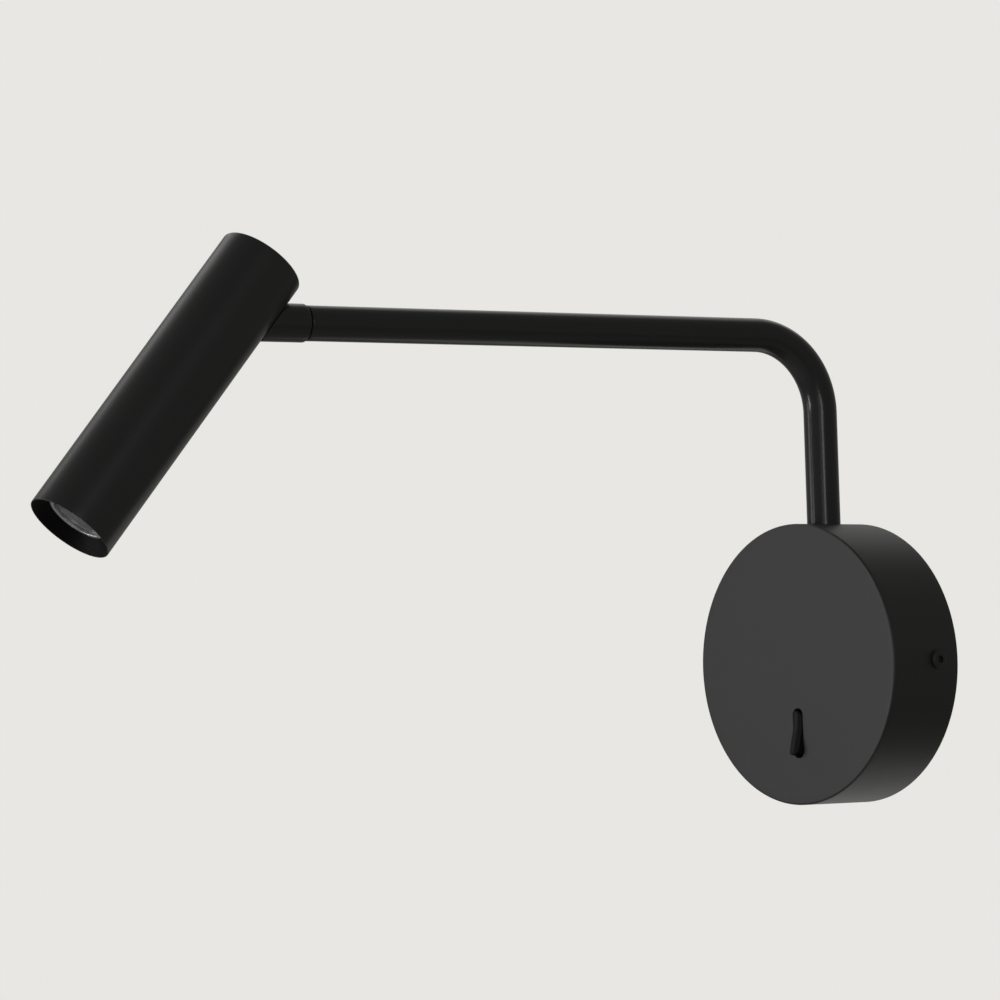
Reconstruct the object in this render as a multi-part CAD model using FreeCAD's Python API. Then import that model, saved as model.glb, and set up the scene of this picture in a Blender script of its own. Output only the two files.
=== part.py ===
"""Bedside wall reading lamp: round wall housing, swinging L-shaped arm, tilting spot head.

Frame: millimetres, +Z up, +X to the right when facing the wall, +Y into the wall.
The origin is the centre of the wall face; the lamp stands out towards -Y.
The arm is modelled along -Y and the head level with it; both are then turned to the
rest pose by SWING_REST and TILT_REST.
"""
import FreeCAD, Part
import os
from math import cos, sin, sqrt, pi, radians

V = FreeCAD.Vector
X_AXIS, Y_AXIS, Z_AXIS = V(1, 0, 0), V(0, 1, 0), V(0, 0, 1)

# ---------------------------------------------------------------- driving sizes (mm)
# wall housing
HOUSING_D = 100.0          # outside diameter of the spun cup
HOUSING_DEPTH = 31.0       # wall to front face
RIM_WALL = 1.5
FRONT_WALL = 2.0
FRONT_EDGE_R = 0.7         # rounding round the front face
# wall bracket
BRACKET_GAP = 2.5          # plate edge to the inside of the rim
BRACKET_T = 1.5
EAR_WIDTH = 14.0
EAR_REACH = 16.0           # how far the ears stand out from the wall
WALL_SCREW_EDGE = 9.0      # wall screw to the plate's edge
WALL_SCREW_D = 4.5
WALL_SLOT_L = 8.0
CABLE_HOLE_D = 12.0
LOWER_ROW_EDGE = 19.0      # cable hole and terminal block to the plate's edge
ROW_SIDE_EDGE = 26.0       # the same, sideways
CABLE_D = 7.0              # bore of the grommet
GROMMET_LIP = 1.5
# cover screws (button head, hexagon socket)
COVER_SCREW_D = 4.0
COVER_SCREW_HEAD_D = 6.6
COVER_SCREW_HEAD_H = 1.6
COVER_SCREW_L = 7.0
COVER_SCREW_Y = 10.0       # from the wall
COVER_SOCKET_AF = 2.5
# arm
ARM_BACK_SET = 0.25        # swing axis behind the middle of the housing's hollow
TUBE_D = 12.0
TUBE_WALL = 1.0
BEND_R = 27.5              # centre line
ARM_HEIGHT = 117.5         # horizontal run above the housing centre
ARM_REACH = 210.2          # swing axis to the end of the tube
SWING_REST = 7.6           # degrees towards -X in the rest pose
SWING_EACH_WAY = 88.0      # from square to the wall
# arm bearing in the housing
BEARING_W = 24.0
BEARING_FRONT_GAP = 3.5    # block to the inside of the front
BEARING_RIM_GAP = 4.5      # block to the inside of the rim
BEARING_H = 22.0
SKIRT_H = 4.0
SKIRT_IN_R = 9.0
SKIRT_GAP = 1.95           # skirt to the bracket and to the front
SWING_WASHER_T = 0.7
PLUG_FLANGE_D = 16.0
PLUG_FLANGE_T = 3.0
PLUG_SHANK_L = 14.0
STOP_TAB_W = 4.0
THRUST_RING_D, THRUST_RING_T = 16.0, 1.2
TUBE_GROOVE = 0.4          # depth of the ring groove in the tube
# swivel at the arm end
BUSH_L = 14.2
SPIGOT_D = 6.0
GROOVE_W = 0.8             # shadow gap between tube and knuckle
GROOVE_WASHER_D = 10.6
STOP_REACH = 1.1           # stop ring to the inside of the tube
STOP_RING_T = 2.3
STOP_TAB_DEG = 18.0
STOP_LUG_DEG = 20.0
NUT_CLEAR, NUT_T = 0.38, 2.1
# knuckle and tilt joint
KNUCKLE_D = 13.0
TUBE_TO_PIVOT = 32.3       # end of the tube to the tilt pivot
TILT_REST = 50.5           # degrees from the arm to the head, folded furthest up
TILT_MAX = 90.0
TONGUE_T = 8.0
TONGUE_EDGE = 0.123        # tongue's top corners inside the knuckle's round
TONGUE_BOTTOM = 2.0
EYE_R = 6.0
PIVOT_PIN_D = 4.0
PIVOT_PIN_SHORT = 1.0      # pin end to the inside of the head, each end
TILT_WASHER_T, TILT_WASHER_D = 0.45, 11.0
# head
HEAD_D = 30.0
HEAD_WALL = 1.3
HEAD_REAR = 26.25          # pivot to rear end
HEAD_FRONT = 88.75         # pivot to aperture rim
REAR_EDGE_R = 0.9
RIM_EDGE_R = 0.4
CAP_T = 3.6
CAP_RECESS = 0.2
YOKE_REAR, YOKE_FRONT = 9.0, 10.0
SINK_L = 22.0
SINK_BASE_T = 4.0
FIN_COUNT = 10
FIN_T = 1.2
SINK_CORE_R = 5.0
BOARD_D, BOARD_T = 22.0, 1.6
CHIP_D, CHIP_T = 9.0, 0.8
BOARD_SCREW_PITCH = 17.0
BOARD_SCREW_D, BOARD_SCREW_HEAD_D, BOARD_SCREW_HEAD_H = 2.0, 3.8, 1.3
# optic
LENS_SETBACK = 4.3         # rim to the front of the lens ring
LENS_D = 21.0
LENS_FLANGE_T = 1.5
LENS_STEP_D, LENS_STEP_H = 17.0, 0.5
LENS_RING_T = 1.55
LENS_RING_W = 0.9
LENS_CONE_L = 9.5
LENS_SMALL_D = 9.6
BAFFLE_RIM_SETBACK = 0.8
BAFFLE_LIP = 0.35
# rocker switch
SWITCH_GAP = 1.75          # switch case to the driver
SLOT_W, SLOT_H = 5.0, 17.5
SLOT_CORNER_R = 0.8
ROCKER_SIDE_GAP = 0.3
ROCKER_END_GAP = 0.95      # room for the ends to swing through
ROCKER_PROUD_TOP, ROCKER_PROUD_MID, ROCKER_PROUD_BOTTOM = 1.0, 1.4, 3.6
ROCKER_KINK_Z = 1.2        # above the pivot
ROCKER_PIVOT_DEPTH = 3.7   # behind the front face
ROCKER_PIN_D = 2.0
SWITCH_WALL = 2.0
SWITCH_DEPTH = 14.0
SWITCH_CAVITY = 9.0
BLADE_T, BLADE_W, BLADE_L = 0.8, 4.8, 7.0
# electrics on the bracket
DRIVER_L, DRIVER_H, DRIVER_DEPTH = 46.0, 24.0, 20.0
DRIVER_LUG = 6.0
DRIVER_LUG_T = 2.0
DRIVER_SCREW_D = 3.0
TERMINAL_L, TERMINAL_H, TERMINAL_DEPTH = 20.0, 12.0, 11.0
TERMINAL_WAYS = 3
TERMINAL_SCREW_D = 3.0
EARTH_EDGE = 12.0          # earth screw to the plate's edge
EARTH_Z = -17.0
# leads
LEAD_D = 2.0
LEAD_BEND_R = 2.5
HEAD_LEAD_OFFSET = 10.0    # lead channel from the head axis

# ---------------------------------------------------------------- named clearances (mm)
RUN_FIT = 0.05             # radial, turning fits and pins
SEAT_FIT = 0.03            # pieces pressed or slid into a seat
HOLE_FIT = 0.4             # radial, free holes
FACE_GAP = 0.05            # flat faces that rub
LEAD_FIT = 0.3             # radial, round a lead
SIDE_FIT = 0.4             # knuckle tongue in the head slot
SHOULDER_GAP = 0.3         # knuckle shoulder to head at full tilt

# ---------------------------------------------------------------- sizes that follow
HOUSING_R = HOUSING_D / 2
RIM_IN_R = HOUSING_R - RIM_WALL
FRONT_IN_Y = HOUSING_DEPTH - FRONT_WALL
BRACKET_R = RIM_IN_R - BRACKET_GAP
WALL_SCREW_SPACING = 2 * (BRACKET_R - WALL_SCREW_EDGE)
CABLE_HOLE_Z = TERMINAL_Z = -(BRACKET_R - LOWER_ROW_EDGE)
TERMINAL_X = BRACKET_R - ROW_SIDE_EDGE
CABLE_HOLE_X = -TERMINAL_X
EARTH_X = -(BRACKET_R - EARTH_EDGE)
ARM_AXIS_Y = (BRACKET_T + FRONT_IN_Y) / 2 - ARM_BACK_SET
BEARING_DEPTH = FRONT_IN_Y - BRACKET_T - BEARING_FRONT_GAP
BEARING_TOP = RIM_IN_R - BEARING_RIM_GAP
SKIRT_OUT_R = (FRONT_IN_Y - BRACKET_T) / 2 - SKIRT_GAP
SWITCH_Z = -(DRIVER_H / 2 + SWITCH_GAP + SWITCH_WALL + SLOT_H / 2)
ROCKER_W = SLOT_W - 2 * ROCKER_SIDE_GAP
ROCKER_HALF_H = SLOT_H / 2 - ROCKER_END_GAP
TUBE_R, TUBE_IN_R = TUBE_D / 2, TUBE_D / 2 - TUBE_WALL
BEARING_BOTTOM = BEARING_TOP - BEARING_H
TUBE_BOTTOM = BEARING_BOTTOM - SWING_WASHER_T - 2 * FACE_GAP
EAR_OUT_X = sqrt((RIM_IN_R - LEAD_FIT) ** 2 - (EAR_WIDTH / 2) ** 2)
STOP_RING_D = 2 * (TUBE_IN_R - STOP_REACH)
NUT_AF = (TUBE_IN_R - NUT_CLEAR) * sqrt(3)
PIVOT_REACH = ARM_REACH + TUBE_TO_PIVOT
BUSH_START = ARM_REACH - BUSH_L
KNUCKLE_START = ARM_REACH + GROOVE_W
STOP_RING_START = BUSH_START - FACE_GAP - STOP_RING_T
NUT_START = STOP_RING_START - FACE_GAP - NUT_T
SPIGOT_START = NUT_START - 0.8
KNUCKLE_R, HEAD_R = KNUCKLE_D / 2, HEAD_D / 2
TONGUE_TOP = sqrt(KNUCKLE_R ** 2 - (TONGUE_T / 2) ** 2) - TONGUE_EDGE
HEAD_IN_R = HEAD_R - HEAD_WALL
SHOULDER_OFFSET = ((HEAD_R + SHOULDER_GAP - KNUCKLE_R * cos(radians(TILT_MAX)))
                   / sin(radians(TILT_MAX)) * sin(radians(TILT_REST))
                   + KNUCKLE_R * cos(radians(TILT_REST)))
CHEEK_X = TONGUE_T / 2 + TILT_WASHER_T + FACE_GAP
INNER_R = HEAD_IN_R - SEAT_FIT
PIVOT_PIN_L = 2 * (sqrt(INNER_R ** 2 - (PIVOT_PIN_D / 2) ** 2) - PIVOT_PIN_SHORT)
LENS_FRONT = HEAD_FRONT - LENS_SETBACK
LENS_SEAT = LENS_FRONT - LENS_RING_T - LENS_FLANGE_T
LENS_BACK = LENS_SEAT - LENS_CONE_L
BOARD_FRONT = LENS_BACK - CHIP_T - 0.7
SINK_FRONT = BOARD_FRONT - BOARD_T
LEAD_R = LEAD_D / 2
DRIVER_TOP_Z = DRIVER_H / 2


# ---------------------------------------------------------------- helpers
def box(x0, x1, y0, y1, z0, z1):
    """Box between two corners."""
    return Part.makeBox(x1 - x0, y1 - y0, z1 - z0, V(x0, y0, z0))


def rod(radius, length, start, direction):
    """Solid cylinder."""
    return Part.makeCylinder(radius, length, start, direction)


def ring(r_in, r_out, length, start, direction):
    """Plain ring or washer."""
    return rod(r_out, length, start, direction).cut(rod(r_in, length, start, direction))


def prism(points, direction):
    """Closed outline swept along a vector."""
    return Part.Face(Part.makePolygon(points + points[:1])).extrude(direction)


def turned(profile):
    """Turn an outline of (distance along -Y, radius) pairs round the Y axis."""
    points = [V(r, -s, 0) for s, r in profile]
    return Part.Face(Part.makePolygon(points + points[:1])).revolve(V(0, 0, 0), Y_AXIS, 360)


def sector(r_in, r_out, z0, z1, half_deg):
    """Part ring round Z, open by half_deg each side of the -Y direction."""
    section = prism([V(r_in, 0, z0), V(r_out, 0, z0), V(r_out, 0, z1), V(r_in, 0, z1)], V(0, 1e-3, 0))
    face = section.Faces[0]
    for f in section.Faces:
        if abs(f.normalAt(0, 0).y) > 0.9 and abs(f.CenterOfMass.y) < 1e-6:
            face = f
    solid = face.revolve(V(0, 0, 0), Z_AXIS, 2 * half_deg)
    solid.rotate(V(0, 0, 0), Z_AXIS, -90 - half_deg)
    return solid


def edges_at(shape, test):
    """Edges whose centre of mass passes a test."""
    return [e for e in shape.Edges if test(e.CenterOfMass, e)]


def hex_prism(across_flats, length, start, direction):
    """Hexagonal bar along X or -Y or Y."""
    r = across_flats / sqrt(3)
    if abs(direction.x) > 0.5:
        pts = [start + V(0, r * cos(k * pi / 3), r * sin(k * pi / 3)) for k in range(6)]
    else:
        pts = [start + V(r * cos(k * pi / 3), 0, r * sin(k * pi / 3)) for k in range(6)]
    return prism(pts, direction * length)


def route(points, radius, bend_r):
    """Round lead along straight runs joined by arcs tangent to both runs."""
    pts, edges, here = list(points), [], points[0]
    for before, corner, after in zip(pts, pts[1:], pts[2:]):
        a, b = (before - corner).normalize(), (after - corner).normalize()
        turn = pi - a.getAngle(b)
        reach = bend_r * sin(turn / 2) / cos(turn / 2)
        start, end = corner + a * reach, corner + b * reach
        middle = corner + (a + b).normalize() * (bend_r / cos(turn / 2) - bend_r)
        edges += [Part.LineSegment(here, start).toShape(), Part.Arc(start, middle, end).toShape()]
        here = end
    edges.append(Part.LineSegment(here, pts[-1]).toShape())
    section = Part.Wire(Part.makeCircle(radius, pts[0], pts[1] - pts[0]))
    return Part.Wire(edges).makePipeShell([section], True, True)


def on_arm(shape):
    """Swing axis at the origin, arm along -Y: moved to its place and swung to rest."""
    shape.rotate(V(0, 0, 0), Z_AXIS, -SWING_REST)
    shape.translate(V(0, -ARM_AXIS_Y, 0))
    return shape


def on_arm_line(shape):
    """Drawn along the horizontal run: raised to the arm's height."""
    shape.translate(V(0, 0, ARM_HEIGHT))
    return on_arm(shape)


def on_knuckle(shape):
    """Drawn with the tilt pivot at the origin, arm along Y."""
    shape.translate(V(0, -PIVOT_REACH, 0))
    return on_arm_line(shape)


def on_head(shape):
    """Drawn with the pivot at the origin, aperture towards -Y, slot side down."""
    shape.rotate(V(0, 0, 0), X_AXIS, TILT_REST)
    return on_knuckle(shape)


# ---------------------------------------------------------------- wall housing
def housing():
    """Spun cup with the arm hole in its rim, the rocker slot and two screw holes."""
    cup = turned([(0, RIM_IN_R), (0, HOUSING_R), (HOUSING_DEPTH, HOUSING_R), (HOUSING_DEPTH, 0),
                  (FRONT_IN_Y, 0), (FRONT_IN_Y, RIM_IN_R)])
    front = edges_at(cup, lambda c, e: abs(e.BoundBox.YMin + HOUSING_DEPTH) < 1e-6
                     and e.BoundBox.YLength < 1e-6 and e.BoundBox.XLength > HOUSING_R)
    cup = cup.makeFillet(FRONT_EDGE_R, front)
    cup = cup.cut(rod(TUBE_R + HOLE_FIT, HOUSING_R, V(0, -ARM_AXIS_Y, RIM_IN_R - 8), Z_AXIS))
    for side in (-1, 1):
        cup = cup.cut(rod(COVER_SCREW_D / 2 + 0.2, 6, V(side * (RIM_IN_R - 3), -COVER_SCREW_Y, 0),
                          V(side, 0, 0)))
    slot = box(-SLOT_W / 2, SLOT_W / 2, -HOUSING_DEPTH - 1, -FRONT_IN_Y + 1,
               SWITCH_Z - SLOT_H / 2, SWITCH_Z + SLOT_H / 2)
    corners = edges_at(slot, lambda c, e: e.BoundBox.YLength > FRONT_WALL)
    return cup.cut(slot.makeFillet(SLOT_CORNER_R, corners))


def wall_bracket():
    """Round steel plate with two bent ears, slots for wall screws and the cable hole."""
    plate = rod(BRACKET_R, BRACKET_T, V(0, 0, 0), -Y_AXIS)
    for side in (-1, 1):
        x0, x1 = sorted((side * (EAR_OUT_X - BRACKET_T), side * EAR_OUT_X))
        tab0, tab1 = sorted((side * (EAR_OUT_X - 10), side * EAR_OUT_X))
        plate = plate.fuse(box(tab0, tab1, -BRACKET_T, 0, -EAR_WIDTH / 2, EAR_WIDTH / 2))
        ear = box(x0, x1, -EAR_REACH, 0, -EAR_WIDTH / 2, EAR_WIDTH / 2)
        tips = edges_at(ear, lambda c, e: e.BoundBox.XLength > BRACKET_T - 1e-6 and c.y < -EAR_REACH + 1e-6)
        plate = plate.fuse(ear.makeFillet(3.0, tips))
    for side in (-1, 1):
        plate = plate.cut(rod(COVER_SCREW_D / 2 + RUN_FIT, 8, V(side * (EAR_OUT_X - 4), -COVER_SCREW_Y, 0),
                              V(side, 0, 0)))
        run, half = (WALL_SLOT_L - WALL_SCREW_D) / 2, WALL_SCREW_D / 2
        cx = side * WALL_SCREW_SPACING / 2
        for dx in (-run, run):
            plate = plate.cut(rod(half, BRACKET_T, V(cx + dx, 0, 0), -Y_AXIS))
        plate = plate.cut(box(cx - run, cx + run, -BRACKET_T, 0, -half, half))
        plate = plate.cut(rod(DRIVER_SCREW_D / 2 + RUN_FIT, BRACKET_T, driver_screw_place(side, 0), -Y_AXIS))
        x, z = bearing_screw_place(side)
        plate = plate.cut(Part.makeCone(4.0, 2.0 + RUN_FIT, BRACKET_T, V(x, 0, z), -Y_AXIS))
    plate = plate.cut(rod(CABLE_HOLE_D / 2, BRACKET_T, V(CABLE_HOLE_X, 0, CABLE_HOLE_Z), -Y_AXIS))
    plate = plate.cut(rod(2.0 + RUN_FIT, BRACKET_T, V(EARTH_X, 0, EARTH_Z), -Y_AXIS))
    return plate.removeSplitter()


def cover_screws():
    """Two button-head screws that hold the housing to the ears."""
    screws = []
    for side in (-1, 1):
        out = V(side, 0, 0)
        seat = V(side * HOUSING_R, -COVER_SCREW_Y, 0)
        head = rod(COVER_SCREW_HEAD_D / 2, COVER_SCREW_HEAD_H, seat, out)
        crown = edges_at(head, lambda c, e: abs(c.x) > HOUSING_R + COVER_SCREW_HEAD_H - 1e-6)
        head = head.makeFillet(COVER_SCREW_HEAD_H * 0.6, crown)
        head = head.cut(hex_prism(COVER_SOCKET_AF, COVER_SCREW_HEAD_H,
                                  seat + out * (COVER_SCREW_HEAD_H * 0.25), out))
        shank = rod(COVER_SCREW_D / 2, COVER_SCREW_L, seat, -out)
        screws.append(head.fuse(shank).removeSplitter())
    return Part.makeCompound(screws)


def cable_grommet():
    """Rubber grommet that the supply cable enters through."""
    hole = V(CABLE_HOLE_X, 0, CABLE_HOLE_Z)
    body = rod(CABLE_HOLE_D / 2, BRACKET_T, hole, -Y_AXIS)
    lip = rod(CABLE_HOLE_D / 2 + GROMMET_LIP, 1.6, hole - Y_AXIS * BRACKET_T, -Y_AXIS)
    return body.fuse(lip).cut(rod(CABLE_D / 2, 10, hole + Y_AXIS, -Y_AXIS)).removeSplitter()


def earth_screw():
    """Pan-head earthing screw in the bracket."""
    at = V(EARTH_X, 0, EARTH_Z)
    head = rod(3.8, 2.4, at - Y_AXIS * BRACKET_T, -Y_AXIS)
    head = head.cut(box(EARTH_X - 3, EARTH_X + 3, -BRACKET_T - 3, -BRACKET_T - 1.4, EARTH_Z - 0.5, EARTH_Z + 0.5))
    return head.fuse(rod(2.0, BRACKET_T, at, -Y_AXIS)).removeSplitter()


def terminal_block():
    """Three-way screw terminal block standing on the bracket."""
    x0, z0 = TERMINAL_X - TERMINAL_L / 2, TERMINAL_Z - TERMINAL_H / 2
    front = BRACKET_T + TERMINAL_DEPTH
    block = box(x0, x0 + TERMINAL_L, -front, -BRACKET_T, z0, z0 + TERMINAL_H)
    for k in range(TERMINAL_WAYS):
        x = x0 + TERMINAL_L * (k + 0.5) / TERMINAL_WAYS
        block = block.cut(rod(1.6, TERMINAL_H, V(x, -BRACKET_T - 4, z0), Z_AXIS))
        block = block.cut(rod(TERMINAL_SCREW_D / 2 + RUN_FIT, 5, V(x, -front, TERMINAL_Z), Y_AXIS))
    return block


def terminal_screws():
    """Clamping screws of the terminal block."""
    front = BRACKET_T + TERMINAL_DEPTH
    screws = []
    for k in range(TERMINAL_WAYS):
        x = TERMINAL_X - TERMINAL_L / 2 + TERMINAL_L * (k + 0.5) / TERMINAL_WAYS
        screw = rod(TERMINAL_SCREW_D / 2, 4.0, V(x, -front + 1.0, TERMINAL_Z), Y_AXIS)
        screws.append(screw.cut(box(x - 2, x + 2, -front, -front + 1.6, TERMINAL_Z - 0.3, TERMINAL_Z + 0.3)))
    return Part.makeCompound(screws)


def driver_screw_place(side, depth):
    """Centre of a driver lug at a depth in front of the wall."""
    return V(side * (DRIVER_L / 2 + DRIVER_LUG / 2), -depth, 0)


def led_driver():
    """Potted driver box with a fixing lug at each end."""
    half = DRIVER_L / 2
    body = box(-half, half, -BRACKET_T - DRIVER_DEPTH, -BRACKET_T, -DRIVER_H / 2, DRIVER_H / 2)
    upright = edges_at(body, lambda c, e: e.BoundBox.YLength > DRIVER_DEPTH - 1e-6)
    body = body.makeFillet(2.0, upright)
    for side in (-1, 1):
        x0, x1 = sorted((side * (half - 1), side * (half + DRIVER_LUG)))
        lug = box(x0, x1, -BRACKET_T - DRIVER_LUG_T, -BRACKET_T, -4, 4)
        body = body.fuse(lug).cut(rod(DRIVER_SCREW_D / 2 + 0.2, DRIVER_LUG_T,
                                      driver_screw_place(side, BRACKET_T), -Y_AXIS))
    return body.removeSplitter()


def driver_screws():
    """Two pan-head screws through the driver lugs into the bracket."""
    screws = []
    for side in (-1, 1):
        shank = rod(DRIVER_SCREW_D / 2, BRACKET_T + DRIVER_LUG_T, driver_screw_place(side, 0), -Y_AXIS)
        top = driver_screw_place(side, BRACKET_T + DRIVER_LUG_T)
        head = rod(DRIVER_SCREW_D * 0.9, DRIVER_SCREW_D * 0.6, top, -Y_AXIS)
        slot = box(top.x - 2.5, top.x + 2.5, top.y - 2, top.y - 1, -0.4, 0.4)
        screws.append(head.cut(slot).fuse(shank).removeSplitter())
    return Part.makeCompound(screws)


# ---------------------------------------------------------------- arm bearing and swing stop
def bearing_screw_place(side):
    """Bearing screw centre as (x, z)."""
    return side * 7.5, BEARING_BOTTOM + BEARING_H / 2


def stop_tab(grow):
    """Tab under the arm plug that meets the ends of the skirt, grown each side."""
    half = STOP_TAB_W / 2 + grow
    z1 = TUBE_BOTTOM - 0.2 + grow
    return box(-half, half, -(SKIRT_OUT_R - 0.3), -(PLUG_FLANGE_D / 2 - 0.5), TUBE_BOTTOM - PLUG_FLANGE_T, z1)


def arm_bearing():
    """Cast block on the bracket with the arm bore and a half skirt that stops the swing."""
    half = BEARING_W / 2
    y1 = ARM_AXIS_Y - BRACKET_T
    block = box(-half, half, y1 - BEARING_DEPTH, y1, BEARING_BOTTOM, BEARING_TOP)
    upright = edges_at(block, lambda c, e: e.BoundBox.ZLength > BEARING_H - 1e-6 and c.y < 0)
    block = block.makeFillet(3.0, upright)
    skirt = ring(SKIRT_IN_R, SKIRT_OUT_R, SKIRT_H, V(0, 0, BEARING_BOTTOM - SKIRT_H), Z_AXIS)
    skirt = skirt.cut(sector(SKIRT_IN_R - 1, SKIRT_OUT_R + 1, BEARING_BOTTOM - SKIRT_H - 1, BEARING_BOTTOM,
                             SWING_EACH_WAY))
    for side in (-1, 1):
        end = box(-STOP_TAB_W / 2 - FACE_GAP * 2, STOP_TAB_W / 2 + FACE_GAP * 2, -SKIRT_OUT_R - 1, -SKIRT_IN_R + 1,
                  BEARING_BOTTOM - SKIRT_H - 1, BEARING_BOTTOM)
        end.rotate(V(0, 0, 0), Z_AXIS, side * SWING_EACH_WAY)
        skirt = skirt.cut(end)
    block = block.fuse(skirt).cut(rod(TUBE_R + RUN_FIT, BEARING_H + 2, V(0, 0, BEARING_BOTTOM - 1), Z_AXIS))
    block.translate(V(0, -ARM_AXIS_Y, 0))
    for side in (-1, 1):
        x, z = bearing_screw_place(side)
        block = block.cut(rod(2.0 + RUN_FIT, ARM_AXIS_Y - TUBE_R - BRACKET_T - 1, V(x, -BRACKET_T, z), -Y_AXIS))
    return block.removeSplitter()


def bearing_screws():
    """Countersunk screws from behind the bracket into the bearing block."""
    screws = []
    for side in (-1, 1):
        x, z = bearing_screw_place(side)
        head = Part.makeCone(3.9, 2.0, BRACKET_T, V(x, 0, z), -Y_AXIS)
        shank = rod(2.0, ARM_AXIS_Y - TUBE_R - BRACKET_T - 1.5, V(x, -BRACKET_T, z), -Y_AXIS)
        screws.append(head.fuse(shank).removeSplitter())
    return Part.makeCompound(screws)


def base_lead():
    """Low-voltage lead from the driver up to the hollow arm plug."""
    top = TUBE_BOTTOM - PLUG_FLANGE_T - FACE_GAP
    return rod(LEAD_R, top - DRIVER_TOP_Z, V(0, -ARM_AXIS_Y, DRIVER_TOP_Z), Z_AXIS)


# ---------------------------------------------------------------- arm
def bent_rod(radius, z0, reach):
    """Solid of the arm's centre line: upright, quarter bend, horizontal run."""
    z_bend = ARM_HEIGHT - BEND_R
    upright = rod(radius, z_bend - z0, V(0, 0, z0), Z_AXIS)
    section = Part.Face(Part.Wire(Part.makeCircle(radius, V(0, 0, z_bend), Z_AXIS)))
    bend = section.revolve(V(0, -BEND_R, z_bend), X_AXIS, 90)
    run = rod(radius, reach - BEND_R, V(0, -BEND_R, ARM_HEIGHT), -Y_AXIS)
    return upright.fuse([bend, run]).removeSplitter()


def arm_tube():
    """Bent steel tube with the groove for its thrust ring."""
    tube = bent_rod(TUBE_R, TUBE_BOTTOM, ARM_REACH).cut(bent_rod(TUBE_IN_R, TUBE_BOTTOM, ARM_REACH))
    groove = ring(TUBE_R - TUBE_GROOVE, TUBE_R + 1, THRUST_RING_T, V(0, 0, BEARING_TOP + FACE_GAP), Z_AXIS)
    return on_arm(tube.cut(groove))


def arm_plug():
    """Turned plug in the foot of the tube: flange, stop tab and lead bore."""
    flange = rod(PLUG_FLANGE_D / 2, PLUG_FLANGE_T, V(0, 0, TUBE_BOTTOM - PLUG_FLANGE_T), Z_AXIS)
    shank = rod(TUBE_IN_R - SEAT_FIT, PLUG_SHANK_L, V(0, 0, TUBE_BOTTOM), Z_AXIS)
    plug = flange.fuse([shank, stop_tab(0)])
    bore = rod(LEAD_R + LEAD_FIT, PLUG_FLANGE_T + PLUG_SHANK_L + 2, V(0, 0, TUBE_BOTTOM - PLUG_FLANGE_T - 1), Z_AXIS)
    return on_arm(plug.cut(bore).removeSplitter())


def swing_washer():
    """Fibre washer between the plug flange and the bearing block."""
    return on_arm(ring(TUBE_R + RUN_FIT, PLUG_FLANGE_D / 2, SWING_WASHER_T, V(0, 0, TUBE_BOTTOM + FACE_GAP / 2), Z_AXIS))


def thrust_ring():
    """Split ring in the tube groove that carries the arm on the bearing block."""
    plain = ring(TUBE_R - TUBE_GROOVE + SEAT_FIT, THRUST_RING_D / 2, THRUST_RING_T,
                 V(0, 0, BEARING_TOP + FACE_GAP), Z_AXIS)
    gap = box(-1.2, 1.2, 0, THRUST_RING_D, BEARING_TOP, BEARING_TOP + THRUST_RING_T + 1)
    return on_arm(plain.cut(gap))


def swivel_bush():
    """Bush in the far end of the tube, with the fixed lug of the swivel stop."""
    bush = ring(SPIGOT_D / 2 + RUN_FIT, TUBE_IN_R - SEAT_FIT, BUSH_L, V(0, -BUSH_START, 0), -Y_AXIS)
    lug_in = STOP_RING_D / 2 + 0.15
    lug = Part.Face(Part.makePolygon([V(0, -STOP_RING_START, -lug_in), V(0, -BUSH_START, -lug_in),
                                      V(0, -BUSH_START, -TUBE_IN_R + 2 * SEAT_FIT),
                                      V(0, -STOP_RING_START, -TUBE_IN_R + 2 * SEAT_FIT),
                                      V(0, -STOP_RING_START, -lug_in)])).revolve(V(0, 0, 0), Y_AXIS, STOP_LUG_DEG)
    lug.rotate(V(0, 0, 0), Y_AXIS, -STOP_LUG_DEG / 2)
    return on_arm_line(bush.fuse(lug).removeSplitter())


def arm_lead():
    """Lead along the centre of the tube, plug to swivel spigot."""
    return on_arm(bent_rod(LEAD_R, TUBE_BOTTOM - PLUG_FLANGE_T, SPIGOT_START))


# ---------------------------------------------------------------- knuckle
def tongue():
    """Plate from the knuckle body to the pivot eye."""
    half = TONGUE_T / 2
    root = SHOULDER_OFFSET / sin(radians(TILT_REST)) + TONGUE_TOP / sin(radians(TILT_REST))
    bar = box(-half, half, 0, root, -TONGUE_BOTTOM, TONGUE_TOP)
    eye = rod(EYE_R, TONGUE_T, V(-half, 0, 0), X_AXIS)
    return bar.fuse(eye)


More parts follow.
